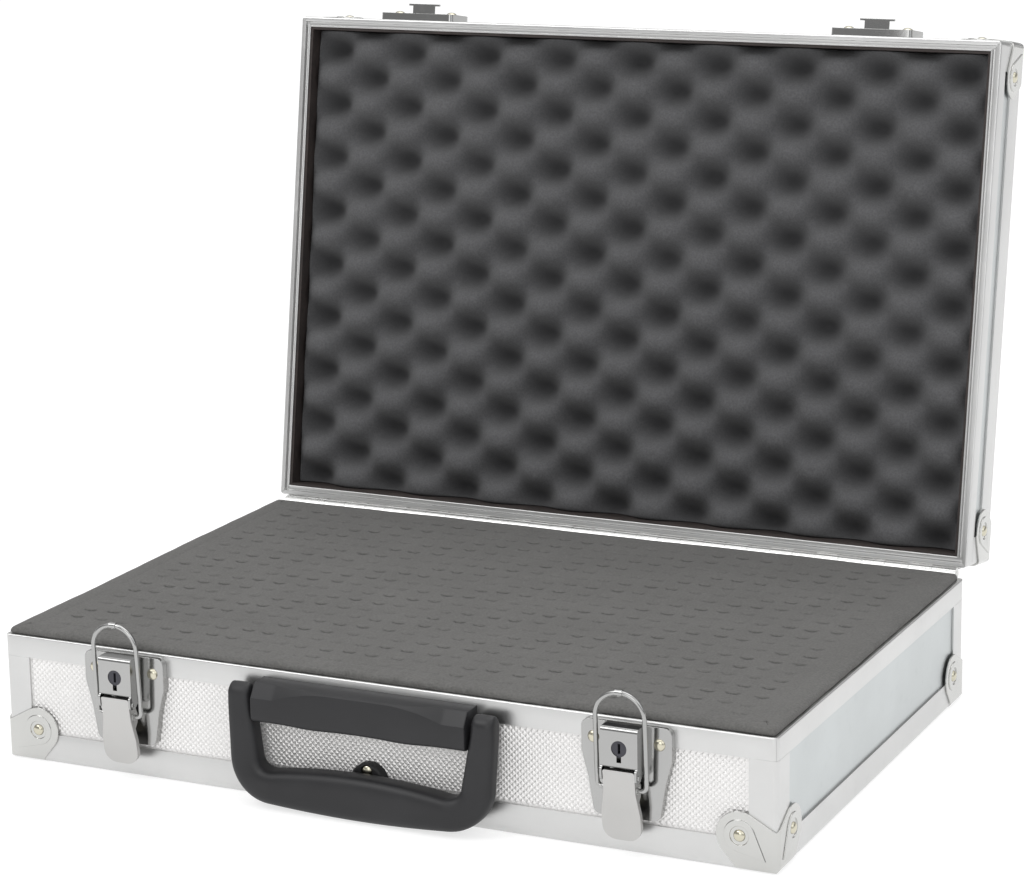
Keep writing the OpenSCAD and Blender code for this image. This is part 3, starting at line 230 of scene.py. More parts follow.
class Shader(Nodes):
    """A material whose pattern lies in object space."""

    def __init__(self, name: str) -> None:
        """Starts an empty material with one Principled BSDF.

        Args:
            name: the material's name.
        """
        self.material = bpy.data.materials.new(name)
        self.material.use_nodes = True
        super().__init__(self.material.node_tree)
        self.tree.nodes.clear()
        self.surface = self.tree.nodes.new("ShaderNodeBsdfPrincipled")
        output = self.tree.nodes.new("ShaderNodeOutputMaterial")
        self.tree.links.new(self.surface.outputs[0], output.inputs["Surface"])
        self.place = self.node("ShaderNodeTexCoord").outputs["Object"]

    def noise(self, scale: float, detail: float = 3.0, stretch: Sequence[float] = (1, 1, 1)) -> Value:
        """Adds a noise.

        Args:
            scale: how many cells there are in a metre.
            detail: the number of octaves.
            stretch: the factor on the pattern along each axis.

        Returns:
            The noise, about 0.5.
        """
        place = self.node("ShaderNodeMapping", None, Vector=self.place, Scale=tuple(stretch)).outputs[0]
        made = self.node("ShaderNodeTexNoise", None, Vector=place, Scale=scale, Detail=detail)
        return self.value(made.outputs[0])

    def cells(self, scale: float, feature: str = "F1") -> Value:
        """Adds a Voronoi distance."""
        made = self.node("ShaderNodeTexVoronoi", {"feature": feature}, Vector=self.place, Scale=scale)
        return self.value(made.outputs["Distance"])

    def mix(self, factor: Value | float, first: object, second: Colour) -> bpy.types.NodeSocket:
        """Mixes two colours.

        Args:
            factor: the second colour's share.
            first: the first colour, or a socket that gives it.
            second: the second colour.

        Returns:
            The mixed colour.
        """
        made = self.node("ShaderNodeMix", {"data_type": "RGBA"})
        self.connect(made.inputs[0], factor)
        self.connect(made.inputs[6], (*first, 1) if isinstance(first, tuple) else first)
        made.inputs[7].default_value = (*second, 1)
        return made.outputs[2]

    def bump(self, height: Value, distance: float, strength: float = 1.0) -> bpy.types.NodeSocket:
        """Turns a height into a normal."""
        made = self.node("ShaderNodeBump", None, Height=height, Distance=distance, Strength=strength)
        return made.outputs[0]

    def finish(self, **sockets: object) -> bpy.types.Material:
        """Sets the surface's inputs.

        Args:
            sockets: the inputs by name, with _ for a space, as links or numbers.

        Returns:
            The material.
        """
        for key, given in sockets.items():
            self.connect(self.surface.inputs[key.replace("_", " ")], given)
        return self.material


def shade(colour: Colour, factor: float) -> Colour:
    """A colour made lighter or darker."""
    return tuple(min(1.0, channel * factor) for channel in colour)


@dataclass(frozen=True)
class MetalFinish:
    """A rolled, drawn, plated or brushed metal with faint clouds and fine lines."""

    name: str
    colour: Colour
    roughness: float
    grain: Grain = Grain.NONE
    lines: float = 0.06
    clouds: float = 0.05
    relief: float = 0.00002
    metallic: float = 1.0
    fine_scale: float = 900.0
    cloud_scale: float = 22.0
    wear_scale: float = 140.0

    def build(self) -> bpy.types.Material:
        """Builds the material.

        Returns:
            The material.
        """
        shader = Shader(self.name)
        fine = shader.noise(self.fine_scale, 2.0, self.grain.value)
        cloud = shader.noise(self.cloud_scale, 4.0)
        wear = shader.noise(self.wear_scale, 5.0).ramp(0.58, 0.72)
        rough = self.roughness + (fine - 0.5) * self.lines + (cloud - 0.5) * self.clouds + wear * 0.05
        colour = shader.mix(cloud.ramp(0.3, 0.75), shade(self.colour, 0.955), shade(self.colour, 1.03))
        return shader.finish(
            Base_Color=colour,
            Metallic=self.metallic,
            Roughness=rough,
            Normal=shader.bump(fine + wear * 0.4, self.relief, 0.6),
        )


@dataclass(frozen=True)
class FoamFinish:
    """Open cell foam: pores, a soft mottling, painted shade in its hollows and a slight sheen."""

    name: str
    colour: Colour
    pore_scale: float
    relief: float
    # How dark the painted shade is, as a share of the foam's colour.
    painted_shade: float = 0.5

    def paint(self, shader: Shader, shadow: Value | float, cut: Value | float) -> bpy.types.Material:
        """Paints the foam.

        Args:
            shader: the material that is being built.
            shadow: how much painted shade each place gets, from 0 to 1.
            cut: how deep each place is cut in, from 0 to 1.

        Returns:
            The material.
        """
        pores = shader.cells(self.pore_scale)
        small = shader.noise(self.pore_scale * 1.3, 4.0)
        mottle = shader.noise(35.0, 3.0)
        tone = (pores * 0.4 + small * 0.7 + mottle * 0.3).ramp(0.35, 1.05)
        light = shader.mix(tone, shade(self.colour, 0.80), shade(self.colour, 1.18))
        return shader.finish(
            # Painted shade: the colour is darkened where shadow is high.
            Base_Color=shader.mix(shadow, light, shade(self.colour, self.painted_shade)),
            Roughness=0.96,
            Normal=shader.bump(pores * 0.5 + small - cut * 2.0, self.relief, 0.8),
            Specular_IOR_Level=0.2,
            Sheen_Weight=0.08,
            Sheen_Roughness=0.6,
        )

    def build(self) -> bpy.types.Material:
        """Builds the material of a wavy sheet, whose hollows are kept in its mesh and painted darker as shade.

        Returns:
            The material.
        """
        shader = Shader(self.name)
        # The mesh's attribute holds how much painted shade each pit gets.
        painted_shade = shader.node("ShaderNodeAttribute", {"attribute_name": "painted_shade"}).outputs["Fac"]
        return self.paint(shader, shader.value(painted_shade), 0.0)


@dataclass(frozen=True)
class CutRows:
    """The rows of small curved cuts in the base's foam, in millimetres."""

    pitch_x: float = 14.15
    pitch_y: float = 14.45
    first_y: float = -1.8
    shift: float = 0.9
    radius: float = 3.3
    narrow: float = 0.75
    flat: float = 1.3
    wander_x: tuple[float, float] = (2.4, 3.7)
    wander_y: tuple[float, float] = (4.1, 1.9)
    line: float = 0.5
    lip: float = 0.7
    groove: float = 0.6
    reach_x: float = 208.0
    reach_y: float = 135.0
    fade: float = 3.0

    def dark(self, x: Value, y: Value) -> Value:
        """How much painted shade a cut gives each place: a dark crescent in its groove on the front side.

        Args:
            x: the place across the case in millimetres.
            y: the place from the front to the back.

        Returns:
            The painted shade from 0 to 1.
        """
        (ax, bx), (ay, by) = self.wander_x, self.wander_y
        column = (x * (1 / self.pitch_x)).math("ROUND")
        row = ((y - self.first_y) * (1 / self.pitch_y)).math("ROUND")
        u = x - column * self.pitch_x - (column * ax + row * bx).math("SINE") * self.shift
        v = y - self.first_y - row * self.pitch_y - (column * ay + row * by).math("SINE") * self.shift
        away = (u * u * self.narrow + v * v * self.flat) ** 0.5 - self.radius
        line = ((away * away) * (-1 / self.line**2)).math("EXPONENT")
        strength = 0.62 + (column * 5.3 + row * 7.9).math("SINE") * 0.38
        side_x = x.math("ABSOLUTE").ramp(self.reach_x, self.reach_x - self.fade)
        side_y = y.math("ABSOLUTE").ramp(self.reach_y, self.reach_y - self.fade)
        # Painted shade: only the front side of each cut is darkened, where its groove would lie in shadow.
        return line * v.ramp(0.4, -2.2) * strength * side_x * side_y

    def lift(self, x: np.ndarray, y: np.ndarray) -> np.ndarray:
        """How a cut moves each place of the foam's top.

        Args:
            x: the places across the case in millimetres.
            y: the places from the front to the back.

        Returns:
            The heights: up on the lip behind a cut and down in its groove.
        """
        (ax, bx), (ay, by) = self.wander_x, self.wander_y
        column = np.round(x / self.pitch_x)
        row = np.round((y - self.first_y) / self.pitch_y)
        u = x - column * self.pitch_x - self.shift * np.sin(column * ax + row * bx)
        v = y - self.first_y - row * self.pitch_y - self.shift * np.sin(column * ay + row * by)
        r = np.sqrt(self.narrow * u * u + self.flat * v * v) / self.radius
        raised = np.clip(1 - r**4, 0, 1) * np.clip(0.55 - v / (2 * self.radius), 0, 1)
        groove = np.exp(-(((r - 1.12) / 0.24) ** 2)) * np.clip(-v / self.radius, 0, 1)
        inside = (np.abs(x) < self.reach_x) & (np.abs(y) < self.reach_y)
        return inside * (self.lip * raised - self.groove * groove)


@dataclass(frozen=True)
class CutFoamFinish(FoamFinish):
    """The foam of the base, with its rows of cuts, each with a painted crescent of shade."""

    rows: CutRows = CutRows()

    def build(self) -> bpy.types.Material:
        """Builds the material.

        Returns:
            The material.
        """
        shader = Shader(self.name)
        x, y, _ = shader.parts(shader.place)
        # Painted shade: the cuts' mask darkens the colour and also cuts into the bump.
        cut = self.rows.dark(x * (1 / MM), y * (1 / MM))
        return self.paint(shader, cut * 0.85, cut)


@dataclass(frozen=True)
class MouldedFinish:
    """Moulded plastic or rubber with a fine spark eroded grain."""

    name: str
    colour: Colour
    roughness: float
    grain_scale: float = 1400.0
    relief: float = 0.00004

    def build(self) -> bpy.types.Material:
        """Builds the material.

        Returns:
            The material.
        """
        shader = Shader(self.name)
        grain = shader.cells(self.grain_scale, "SMOOTH_F1")
        haze = shader.noise(45.0, 4.0)
        rubbed = shader.noise(12.0, 2.0).ramp(0.4, 0.75)
        return shader.finish(
            Base_Color=shader.mix(haze.ramp(0.3, 0.8), shade(self.colour, 0.86), shade(self.colour, 1.16)),
            Specular_IOR_Level=0.4,
            Roughness=self.roughness - rubbed * 0.08 + (haze - 0.5) * 0.08,
            Normal=shader.bump(grain, self.relief, 0.7),
        )


@dataclass(frozen=True)
class BoardFinish:
    """Brown hardboard with short fibres."""

    name: str
    colour: Colour

    def build(self) -> bpy.types.Material:
        """Builds the material.

        Returns:
            The material.
        """
        shader = Shader(self.name)
        fibres = shader.noise(500.0, 4.0, (0.3, 1.0, 1.0))
        patches = shader.noise(60.0, 3.0)
        colour = shader.mix(
            (fibres * 0.6 + patches * 0.4).ramp(0.35, 0.7), shade(self.colour, 0.7), shade(self.colour, 1.3)
        )
        return shader.finish(
            Base_Color=colour, Roughness=0.7 + (fibres - 0.5) * 0.2, Normal=shader.bump(fibres, 0.00005, 0.5)
        )


class Finishes:
    """Every finish of the case, built once."""

    def __init__(self) -> None:
        """Builds all the materials."""
        self.facing = MetalFinish("embossed_facing", (0.775, 0.765, 0.757), 0.42, lines=0.1, metallic=0.5).build()
        self.side = MetalFinish("smooth_facing", (0.55, 0.575, 0.578), 0.38, Grain.ALONG_Y, 0.03).build()
        self.frame = MetalFinish("drawn_profile", (0.625, 0.625, 0.62), 0.34, Grain.ALONG_X, 0.08).build()
        self.guard = MetalFinish("pressed_nickel", (0.56, 0.56, 0.545), 0.17, lines=0.05).build()
        self.chrome = MetalFinish("latch_plating", (0.405, 0.405, 0.40), 0.14, lines=0.04, relief=0.00001).build()
        self.satin = MetalFinish("lever_plating", (0.50, 0.495, 0.485), 0.30, lines=0.08, clouds=0.08).build()
        self.steel = MetalFinish("bright_steel", (0.62, 0.62, 0.61), 0.24, Grain.ALONG_X, 0.08).build()
        self.rivet = MetalFinish("dull_brass", (0.60, 0.57, 0.46), 0.22, lines=0.08, clouds=0.1).build()
        self.lock = MetalFinish("dark_lock", (0.05, 0.05, 0.06), 0.42, lines=0.05, metallic=0.4).build()
        # The lining is real brown board, but its colour is darkened near black as painted shade in the gap between the
        # foam and the rim.
        self.board_painted_as_shade = BoardFinish("hardboard", (0.030, 0.022, 0.020)).build()
        self.grey_foam = CutFoamFinish("grey_foam", (0.110, 0.108, 0.104), 700.0, 0.00025, 0.45).build()
        self.dark_foam = FoamFinish("dark_foam", (0.086, 0.086, 0.089), 800.0, 0.00012, 0.5).build()
        self.plastic = MouldedFinish("handle_plastic", (0.015, 0.015, 0.0165), 0.50).build()
        self.rubber = MouldedFinish("bumper_rubber", (0.012, 0.012, 0.013), 0.6).build()


def link(mesh: bpy.types.Mesh, name: str) -> bpy.types.Object:
    """Makes an object at the origin.

    Args:
        mesh: its mesh, in metres and in place.
        name: its name.

    Returns:
        The object.
    """
    made = bpy.data.objects.new(name, mesh)
    bpy.context.scene.collection.objects.link(made)
    return made


def dress(piece: bpy.types.Object, material: bpy.types.Material, body: str) -> bpy.types.Object:
    """Gives a piece its material, body and material slot.

    Args:
        piece: the finished object.
        material: its material.
        body: the body that it moves with.

    Returns:
        The piece.
    """
    piece.data.materials.clear()
    piece.data.materials.append(material)
    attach(piece, body)
    LOG.info("%s rides on %s, %d faces", piece.name, body, len(piece.data.polygons))
    return piece


def smooth(mesh: bpy.types.Mesh, angle: float) -> None:
    """Shades a mesh smooth, apart from edges sharper than an angle in degrees."""
    mesh.shade_smooth()
    mesh.set_sharp_from_angle(angle=math.radians(angle))


@contextmanager
def editing(mesh: bpy.types.Mesh) -> Iterator[bmesh.types.BMesh]:
    """Opens a mesh for editing and then writes it back.

    Args:
        mesh: the mesh.

    Yields:
        Its copy, which is edited.
    """
    made = bmesh.new()
    made.from_mesh(mesh)
    yield made
    made.to_mesh(mesh)
    made.free()


def outward(mesh: bpy.types.Mesh, near: float = 0.001 * MM) -> None:
    """Turns all the faces of a closed mesh outwards.

    Args:
        mesh: the mesh.
        near: how near to each other two points are merged.
    """
    with editing(mesh) as made:
        bmesh.ops.remove_doubles(made, verts=made.verts, dist=near)
        bmesh.ops.recalc_face_normals(made, faces=made.faces)


def grid_mesh(
    name: str, points: np.ndarray, flip: bool = False, closed: bool = False, tube: bool = False
) -> bpy.types.Mesh:
    """Makes a mesh from a grid of points.

    Args:
        name: the mesh's name.
        points: an array of rows, columns and 3 coordinates, in metres.
        flip: turns the faces round.
        closed: joins the last column to the first and closes the two ends.
        tube: joins the last column to the first and leaves the ends.

    Returns:
        The mesh.
    """
    rows, columns = points.shape[:2]
    last = columns if closed or tube else columns - 1
    faces = []
    for i in range(rows - 1):
        for j in range(last):
            k = (j + 1) % columns
            face = (i * columns + j, (i + 1) * columns + j, (i + 1) * columns + k, i * columns + k)
            faces.append(face[::-1] if flip else face)
    if closed:
        ends = [tuple(range(columns)), tuple((rows - 1) * columns + j for j in reversed(range(columns)))]
        faces += [end[::-1] if flip else end for end in ends]
    mesh = bpy.data.meshes.new(name)
    mesh.from_pydata(points.reshape(-1, 3).tolist(), [], faces)
    mesh.update()
    return mesh


class Body(Enum):
    """The moving bodies that pieces ride on."""

    BASE = "base"
    LID = "lid"
    HANDLE = "handle"


@dataclass(frozen=True)
class Edge:
    """How a solid's edges are broken."""

    width: float = 0.25
    segments: int = 2
    angle: float = 35.0


class Solids:
    """Takes over the solids of the frame, with their edges broken and their own finish."""

    def merged(self, node: str, join: bool = True) -> bpy.types.Mesh:
        """Copies a node's mesh.

        Args:
            node: the node's name.
            join: joins the triangles of each flat face.

        Returns:
            The copy, with its doubles merged.
        """
        mesh = frame["nodes"][node].data.copy()
        with editing(mesh) as made:
            bmesh.ops.remove_doubles(made, verts=made.verts, dist=SAME_POINT)
            if join:
                flat = math.radians(0.4)
                bmesh.ops.dissolve_limit(made, angle_limit=flat, verts=made.verts, edges=made.edges)
        return mesh

    def take(
        self, node: str, material: bpy.types.Material, slot: str, edge: Edge | None = None, soft: float = 35.0
    ) -> bpy.types.Object:
        """Replaces a node by a copy with broken edges.

        Args:
            node: the node's name.
            material: the copy's material.
            slot: not used.
            edge: how its edges are broken, or None to leave them sharp.
            soft: the largest angle in degrees that is shaded smooth.

        Returns:
            The copy.
        """
        body = frame["nodes"][node]["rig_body"]
        piece = link(self.merged(node, edge is not None), f"{node}_dressed")
        smooth(piece.data, soft)
        if edge:
            bevel = piece.modifiers.new("edges", "BEVEL")
            bevel.width = edge.width * MM
            bevel.segments = edge.segments
            bevel.limit_method = "ANGLE"
            bevel.angle_limit = math.radians(edge.angle)
            bevel.harden_normals = True
            bevel.miter_outer = "MITER_ARC"
        else:
            even = piece.modifiers.new("even_shading", "WEIGHTED_NORMAL")
            even.weight = 100
            even.keep_sharp = True
        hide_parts(node)
        return dress(piece, material, body)

    def finish(self, node: str, material: bpy.types.Material) -> None:
        """Gives a node that stays its material.

        Args:
            node: the node's name.
            material: its material.
        """
        mesh = frame["nodes"][node].data
        mesh.materials.clear()
        mesh.materials.append(material)


class Tree(Nodes):
    """A Geometry Nodes tree with named inputs."""

    def __init__(self, name: str, inputs: dict[str, float]) -> None:
        """Starts a tree.

        Args:
            name: the tree's name.
            inputs: its sizes by name. It also takes a geometry and a finish.
        """
        super().__init__(bpy.data.node_groups.new(name, "GeometryNodeTree"))
        face = self.tree.interface
        face.new_socket("Geometry", in_out="INPUT", socket_type="NodeSocketGeometry")
        self.sockets = {}
        for key, size in inputs.items():
            socket = face.new_socket(key, in_out="INPUT", socket_type="NodeSocketFloat")
            self.sockets[key] = (socket.identifier, size)
        finish = face.new_socket("Finish", in_out="INPUT", socket_type="NodeSocketMaterial")
        self.finish_id = finish.identifier
        face.new_socket("Geometry", in_out="OUTPUT", socket_type="NodeSocketGeometry")
        self.given = self.tree.nodes.new("NodeGroupInput")
        self.result = self.tree.nodes.new("NodeGroupOutput")

    def size(self, name: str) -> Value:
        """One of the named sizes, for use in an expression."""
        return self.value(self.given.outputs[name])

    def close(self, points: bpy.types.NodeSocket, instance: bpy.types.Node, **sockets: object) -> None:
        """Puts a shape on each point, and ends the tree in Realize Instances and Set Material.

        Args:
            points: the points.
            instance: the node that gives the shape.
            sockets: more inputs of Instance on Points.
        """
        shape = instance.outputs[0]
        placed = self.node("GeometryNodeInstanceOnPoints", None, Points=points, Instance=shape, **sockets)
        real = self.node("GeometryNodeRealizeInstances", None, Geometry=placed.outputs[0]).outputs[0]
        finish = self.given.outputs["Finish"]
        painted = self.node("GeometryNodeSetMaterial", None, Geometry=real, Material=finish)
        self.connect(self.result.inputs[0], painted.outputs[0])

    def run(self, source: bpy.types.Mesh, material: bpy.types.Material, name: str) -> bpy.types.Object:
        """Runs the tree on a mesh and keeps the result as a plain mesh.

        Args:
            source: the mesh that the tree starts from.
            material: the finish that it sets.
            name: the made object's name.

        Returns:
            An object at the origin without modifiers.
        """
        carrier = link(source, f"{name}_source")
        modifier = carrier.modifiers.new("tree", "NODES")
        modifier.node_group = self.tree
        for identifier, size in self.sockets.values():
            modifier[identifier] = size
        modifier[self.finish_id] = material
        evaluated = carrier.evaluated_get(bpy.context.evaluated_depsgraph_get())
        mesh = bpy.data.meshes.new_from_object(evaluated)
        carrier.modifiers.remove(modifier)
        bpy.data.objects.remove(carrier)
        mesh.name = name
        return link(mesh, name)


@dataclass(frozen=True)
class CaseSizes:
    """The sizes of the case in millimetres, as in the part's source."""

    half_w: float = 225.0
    half_d: float = 150.0
    base_h: float = 71.0
    lid_z: float = 71.3
    top_z: float = 115.0
    leg_t: float = 1.2
    post_w: float = 15.0
    base_band: float = 12.0
    bottom_band: float = 16.5
    lid_band: float = 11.0
    top_band: float = 20.5
    hinge_y: float = 154.3
    hinge_z: float = 71.15
    lid_open: float = 99.25
    foam_w: float = 434.0
    foam_d: float = 284.0

    def lid_matrix(self) -> Matrix:
        """Turns a piece drawn on the shut lid, in metres, to where the lid stands open.

        Returns:
            The turn about the hinge's axis.
        """
        axis = Vector((0, self.hinge_y, self.hinge_z)) * MM
        turn = Matrix.Rotation(math.radians(-self.lid_open), 4, "X")
        return Matrix.Translation(axis) @ turn @ Matrix.Translation(-axis)


@dataclass(frozen=True)
class Emboss:
    """The facing's pattern of small blunt pyramids in staggered rows."""

    pitch: float = 3.2
    height: float = 0.42
    tip: float = 0.42

    def tree(self, width: float, high: float) -> Tree:
        """The tree that covers a field with pyramids.

        Args:
            width: the field's width in millimetres.
            high: the field's height in millimetres.

        Returns:
            The tree, for a field about the origin that faces +Z.
        """
        tree = Tree(
            "emboss",
            {
                "Pitch": self.pitch * MM,
                "Height": self.height * MM,
                "Tip": self.tip * MM,
                "Columns": math.floor(width / self.pitch),
                "Rows": math.floor(high / self.pitch),
            },
        )
        pitch = tree.size("Pitch")
        columns, rows = tree.size("Columns"), tree.size("Rows")
        join = tree.node("GeometryNodeJoinGeometry")
        for shift in (0, 1):
            grid = tree.node(
                "GeometryNodeMeshGrid",
                None,
                Size_X=pitch * (columns - 1 - shift),
                Size_Y=pitch * (rows - 1 - shift),
                Vertices_X=columns - shift,
                Vertices_Y=rows - shift,
            )
            tree.connect(join.inputs[0], grid.outputs[0])
        cone = tree.node(
            "GeometryNodeMeshCone",
            None,
            Vertices=4,
            Radius_Top=tree.size("Tip"),
            Radius_Bottom=pitch * 0.5,
            Depth=tree.size("Height"),
        )
        under = tree.parts(tree.node("GeometryNodeInputNormal").outputs[0])[2].math("LESS_THAN", -0.5)
        open_cone = tree.node(
            "GeometryNodeDeleteGeometry", {"domain": "FACE"}, Geometry=cone.outputs[0], Selection=under
        )
        tree.close(join.outputs[0], open_cone)
        return tree

    def field(self, name: str, size: tuple[float, float], place: Matrix, look: bpy.types.Material) -> bpy.types.Object:
        """Makes a field and puts it on its wall.

        Args:
            name: the field's name.
            size: its width and height in millimetres.
            place: where it goes.
            look: its material.

        Returns:
            The field.
        """
        piece = self.tree(*size).run(bpy.data.meshes.new(name), look, name)
        piece.data.transform(place)
        return piece


@dataclass(frozen=True)
class Shell:
    """The case's walls, profiles, guards, linings and hinge."""

    sizes: CaseSizes
    finishes: Finishes
    solids: Solids

    def walls(self) -> None:
        """Dresses the panels and covers the long ones with the embossed pattern."""
        looks = self.finishes
        for half in ("base", "lid"):
            for side in ("front", "back"):
                self.solids.finish(f"{half}_{side}_panel", looks.facing)
            for side in ("left", "right"):
                self.solids.finish(f"{half}_{side}_panel", looks.side)
        self.solids.finish("base_bottom_panel", looks.side)
        self.solids.finish("lid_top_panel", looks.side)
        emboss = Emboss()
        size = self.sizes
        width = 2 * (size.half_w - size.post_w)
        fields = (
            ("base", size.bottom_band, size.base_h - size.base_band, Matrix.Identity(4)),
            ("lid", size.lid_z + size.lid_band, size.top_z - size.top_band, size.lid_matrix()),
        )
        for half, low, high, pose in fields:
            for side in (-1, 1):
                name = f"{half}_{'front' if side < 0 else 'back'}_emboss"
                wall = Vector((0, side * (size.half_d - size.leg_t), (low + high) / 2)) * MM
                turn = Matrix.Rotation(math.radians(-side * 90), 4, "X")
                place = pose @ Matrix.Translation(wall) @ turn
                field = emboss.field(name, (width, high - low), place, looks.facing)
                dress(field, looks.facing, half)

    def profiles(self) -> None:
        """Breaks the edges of the profiles, corner posts and guards."""
        looks = self.finishes
        for node in ("base_rim", "base_bottom_edges", "lid_rim", "lid_top_edges"):
            self.solids.take(node, looks.frame, "frame_aluminium", Edge(0.3, 3, 40))
        for node in ("base_corner_posts", "lid_corner_posts"):
            self.solids.take(node, looks.frame, "frame_aluminium", Edge(0.2, 2, 40))
        for node in ("base_corner_guards", "lid_corner_guards"):
            self.solids.take(node, looks.guard, "guard_steel", Edge(0.3, 3, 38))

    def linings(self) -> None:
        """Dresses the lining boards in a near black colour, which is painted shade."""
        for node in ("base_lining", "lid_lining"):
            self.solids.finish(node, self.finishes.board_painted_as_shade)

    def hinge(self) -> None:
        """Dresses the hinge's leaves and pin."""
        for node in ("hinge_base_leaf", "hinge_lid_leaf"):
            self.solids.take(node, self.finishes.steel, "hinge_steel")
        self.solids.take("hinge_pin", self.finishes.steel, "hinge_steel", Edge(0.2, 2, 40))

    def build(self) -> None:
        """Makes all of the shell."""
        self.walls()
        self.profiles()
        self.linings()
        self.hinge()


@dataclass(frozen=True)
class RivetHeads:
    """Round heads that are set where the frame's rivets are."""

    radius: float = 3.2
    height: float = 1.75
    sides: int = 28
    rings: int = 8

    def tree(self) -> Tree:
        """The tree that puts a domed head on each point, facing the point's own way.

        Returns:
            The tree, for a mesh of points.
        """
        tree = Tree("rivet_heads", {"Radius": self.radius * MM, "Height": self.height * MM})
        radius, height = tree.size("Radius"), tree.size("Height")
        cone = tree.node(
            "GeometryNodeMeshCone",
            None,
            Vertices=self.sides,
            Side_Segments=self.rings,
            Radius_Top=radius * 0.02,
            Radius_Bottom=radius,
            Depth=height,
        )
        x, y, _ = tree.parts(tree.node("GeometryNodeInputPosition").outputs[0])
        share = (x * x + y * y).math("DIVIDE", radius * radius)
        dome = height * (1 - share).math("MAXIMUM", 0.0) ** 0.5
        upright = tree.node("ShaderNodeCombineXYZ", None, X=x, Y=y, Z=dome)
        shaped = tree.node("GeometryNodeSetPosition", None, Geometry=cone.outputs[0], Position=upright.outputs[0])
        facing = tree.node("GeometryNodeInputNamedAttribute", {"data_type": "FLOAT_VECTOR"}, Name="facing")
        turn = tree.node("FunctionNodeAlignRotationToVector", {"axis": "Z"}, Vector=facing.outputs[0])
        tree.close(tree.given.outputs["Geometry"], shaped, Rotation=turn.outputs[0])
        return tree

    def places(self, node: str) -> tuple[list[Vector], list[Vector]]:
        """Finds the rivets of a node.

        Args:
            node: the node's name.

        Returns:
            The middle of each head's seat and the way that the head faces.
        """
        made = bmesh.new()
        made.from_mesh(frame["nodes"][node].data)
        bmesh.ops.remove_doubles(made, verts=made.verts, dist=SAME_POINT)
        left = set(made.verts)
        seats, ways = [], []
        while left:
            island, queue = set(), [left.pop()]
            while queue:
                vert = queue.pop()
                island.add(vert)
                for edge in vert.link_edges:
                    other = edge.other_vert(vert)
                    if other in left:
                        left.remove(other)
                        queue.append(other)
            seat, way = self.seat_of(np.array([vert.co for vert in island]))
            seats.append(seat)
            ways.append(way)
        made.free()
        return seats, ways

    def seat_of(self, points: np.ndarray) -> tuple[Vector, Vector]:
        """The seat and direction of one rivet from its points.

        Args:
            points: the rivet's points, in metres.

        Returns:
            The seat's middle and the way that the head faces, where its dome narrows.
        """
        spread, axes = np.linalg.eigh(np.cov((points - points.mean(0)).T))
        odd = max(range(3), key=lambda k: min(abs(spread[k] - spread[j]) for j in range(3) if j != k))
        axis = axes[:, odd]
        along = (points - points.mean(0)) @ axis
        across = np.linalg.norm(points - points.mean(0) - np.outer(along, axis), axis=1)
        rim = along[across > 0.97 * across.max()]
        dome = along[(across < 0.95 * across.max()) & (across > 0.72 * across.max())]
        if dome.mean() < rim.mean():
            axis, along, rim = -axis, -along, -rim
        return Vector(points.mean(0) + axis * rim.min()), Vector(axis)

    def build(self, node: str, material: bpy.types.Material, slot: str) -> None:
        """Replaces a node's rivets by domed heads.

        Args:
            node: the node's name.
            material: the heads' material.
            slot: not used.
        """
        seats, ways = self.places(node)
        mesh = bpy.data.meshes.new(node)
        mesh.from_pydata([tuple(seat) for seat in seats], [], [])
        facing = mesh.attributes.new("facing", "FLOAT_VECTOR", "POINT")
        facing.data.foreach_set("vector", [axis for way in ways for axis in way])
        piece = self.tree().run(mesh, material, f"{node}_heads")
        smooth(piece.data, 50)
        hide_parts(node)
        dress(piece, material, frame["nodes"][node]["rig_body"])


def rounded_axis(half: float, corner: float, step: float) -> np.ndarray:
    """Distances across a foam block that are closer together over its rounded edge.

    Args:
        half: half the block's width.
        corner: the width of the rounded edge.
        step: the distance between two lines in the middle.

    Returns:
        The places of the lines in millimetres.
    """
    count = round(2 * (half - corner) / step)
    middle = np.linspace(-half + corner, half - corner, count + 1)
    edge = half - corner * (1 - np.sin(np.linspace(math.pi / 2, 0, 5)[:-1]))
    return np.concatenate([-edge, middle, edge[::-1]])


def skirted(points: np.ndarray, level: float) -> np.ndarray:
    """Adds a wall down to a level round a grid of points.

    Args:
        points: rows and columns of points.
        level: the third coordinate of the wall's foot.

    Returns:
        The grid with the wall's rows and columns.
    """
    for axis in (0, 1):
        wall = np.take(points, [0, -1], axis=axis).copy()
        wall[..., 2] = level
        first, last = np.split(wall, 2, axis=axis)
        points = np.concatenate([first, points, last], axis=axis)
    return points


def keep_painted_shade(mesh: bpy.types.Mesh, painted_shade: np.ndarray) -> None:
    """Keeps how deep each point lies in a mesh, which its finish paints as shade."""
    made = mesh.attributes.new("painted_shade", "FLOAT", "POINT")
    made.data.foreach_set("value", painted_shade.astype(np.float32).ravel())


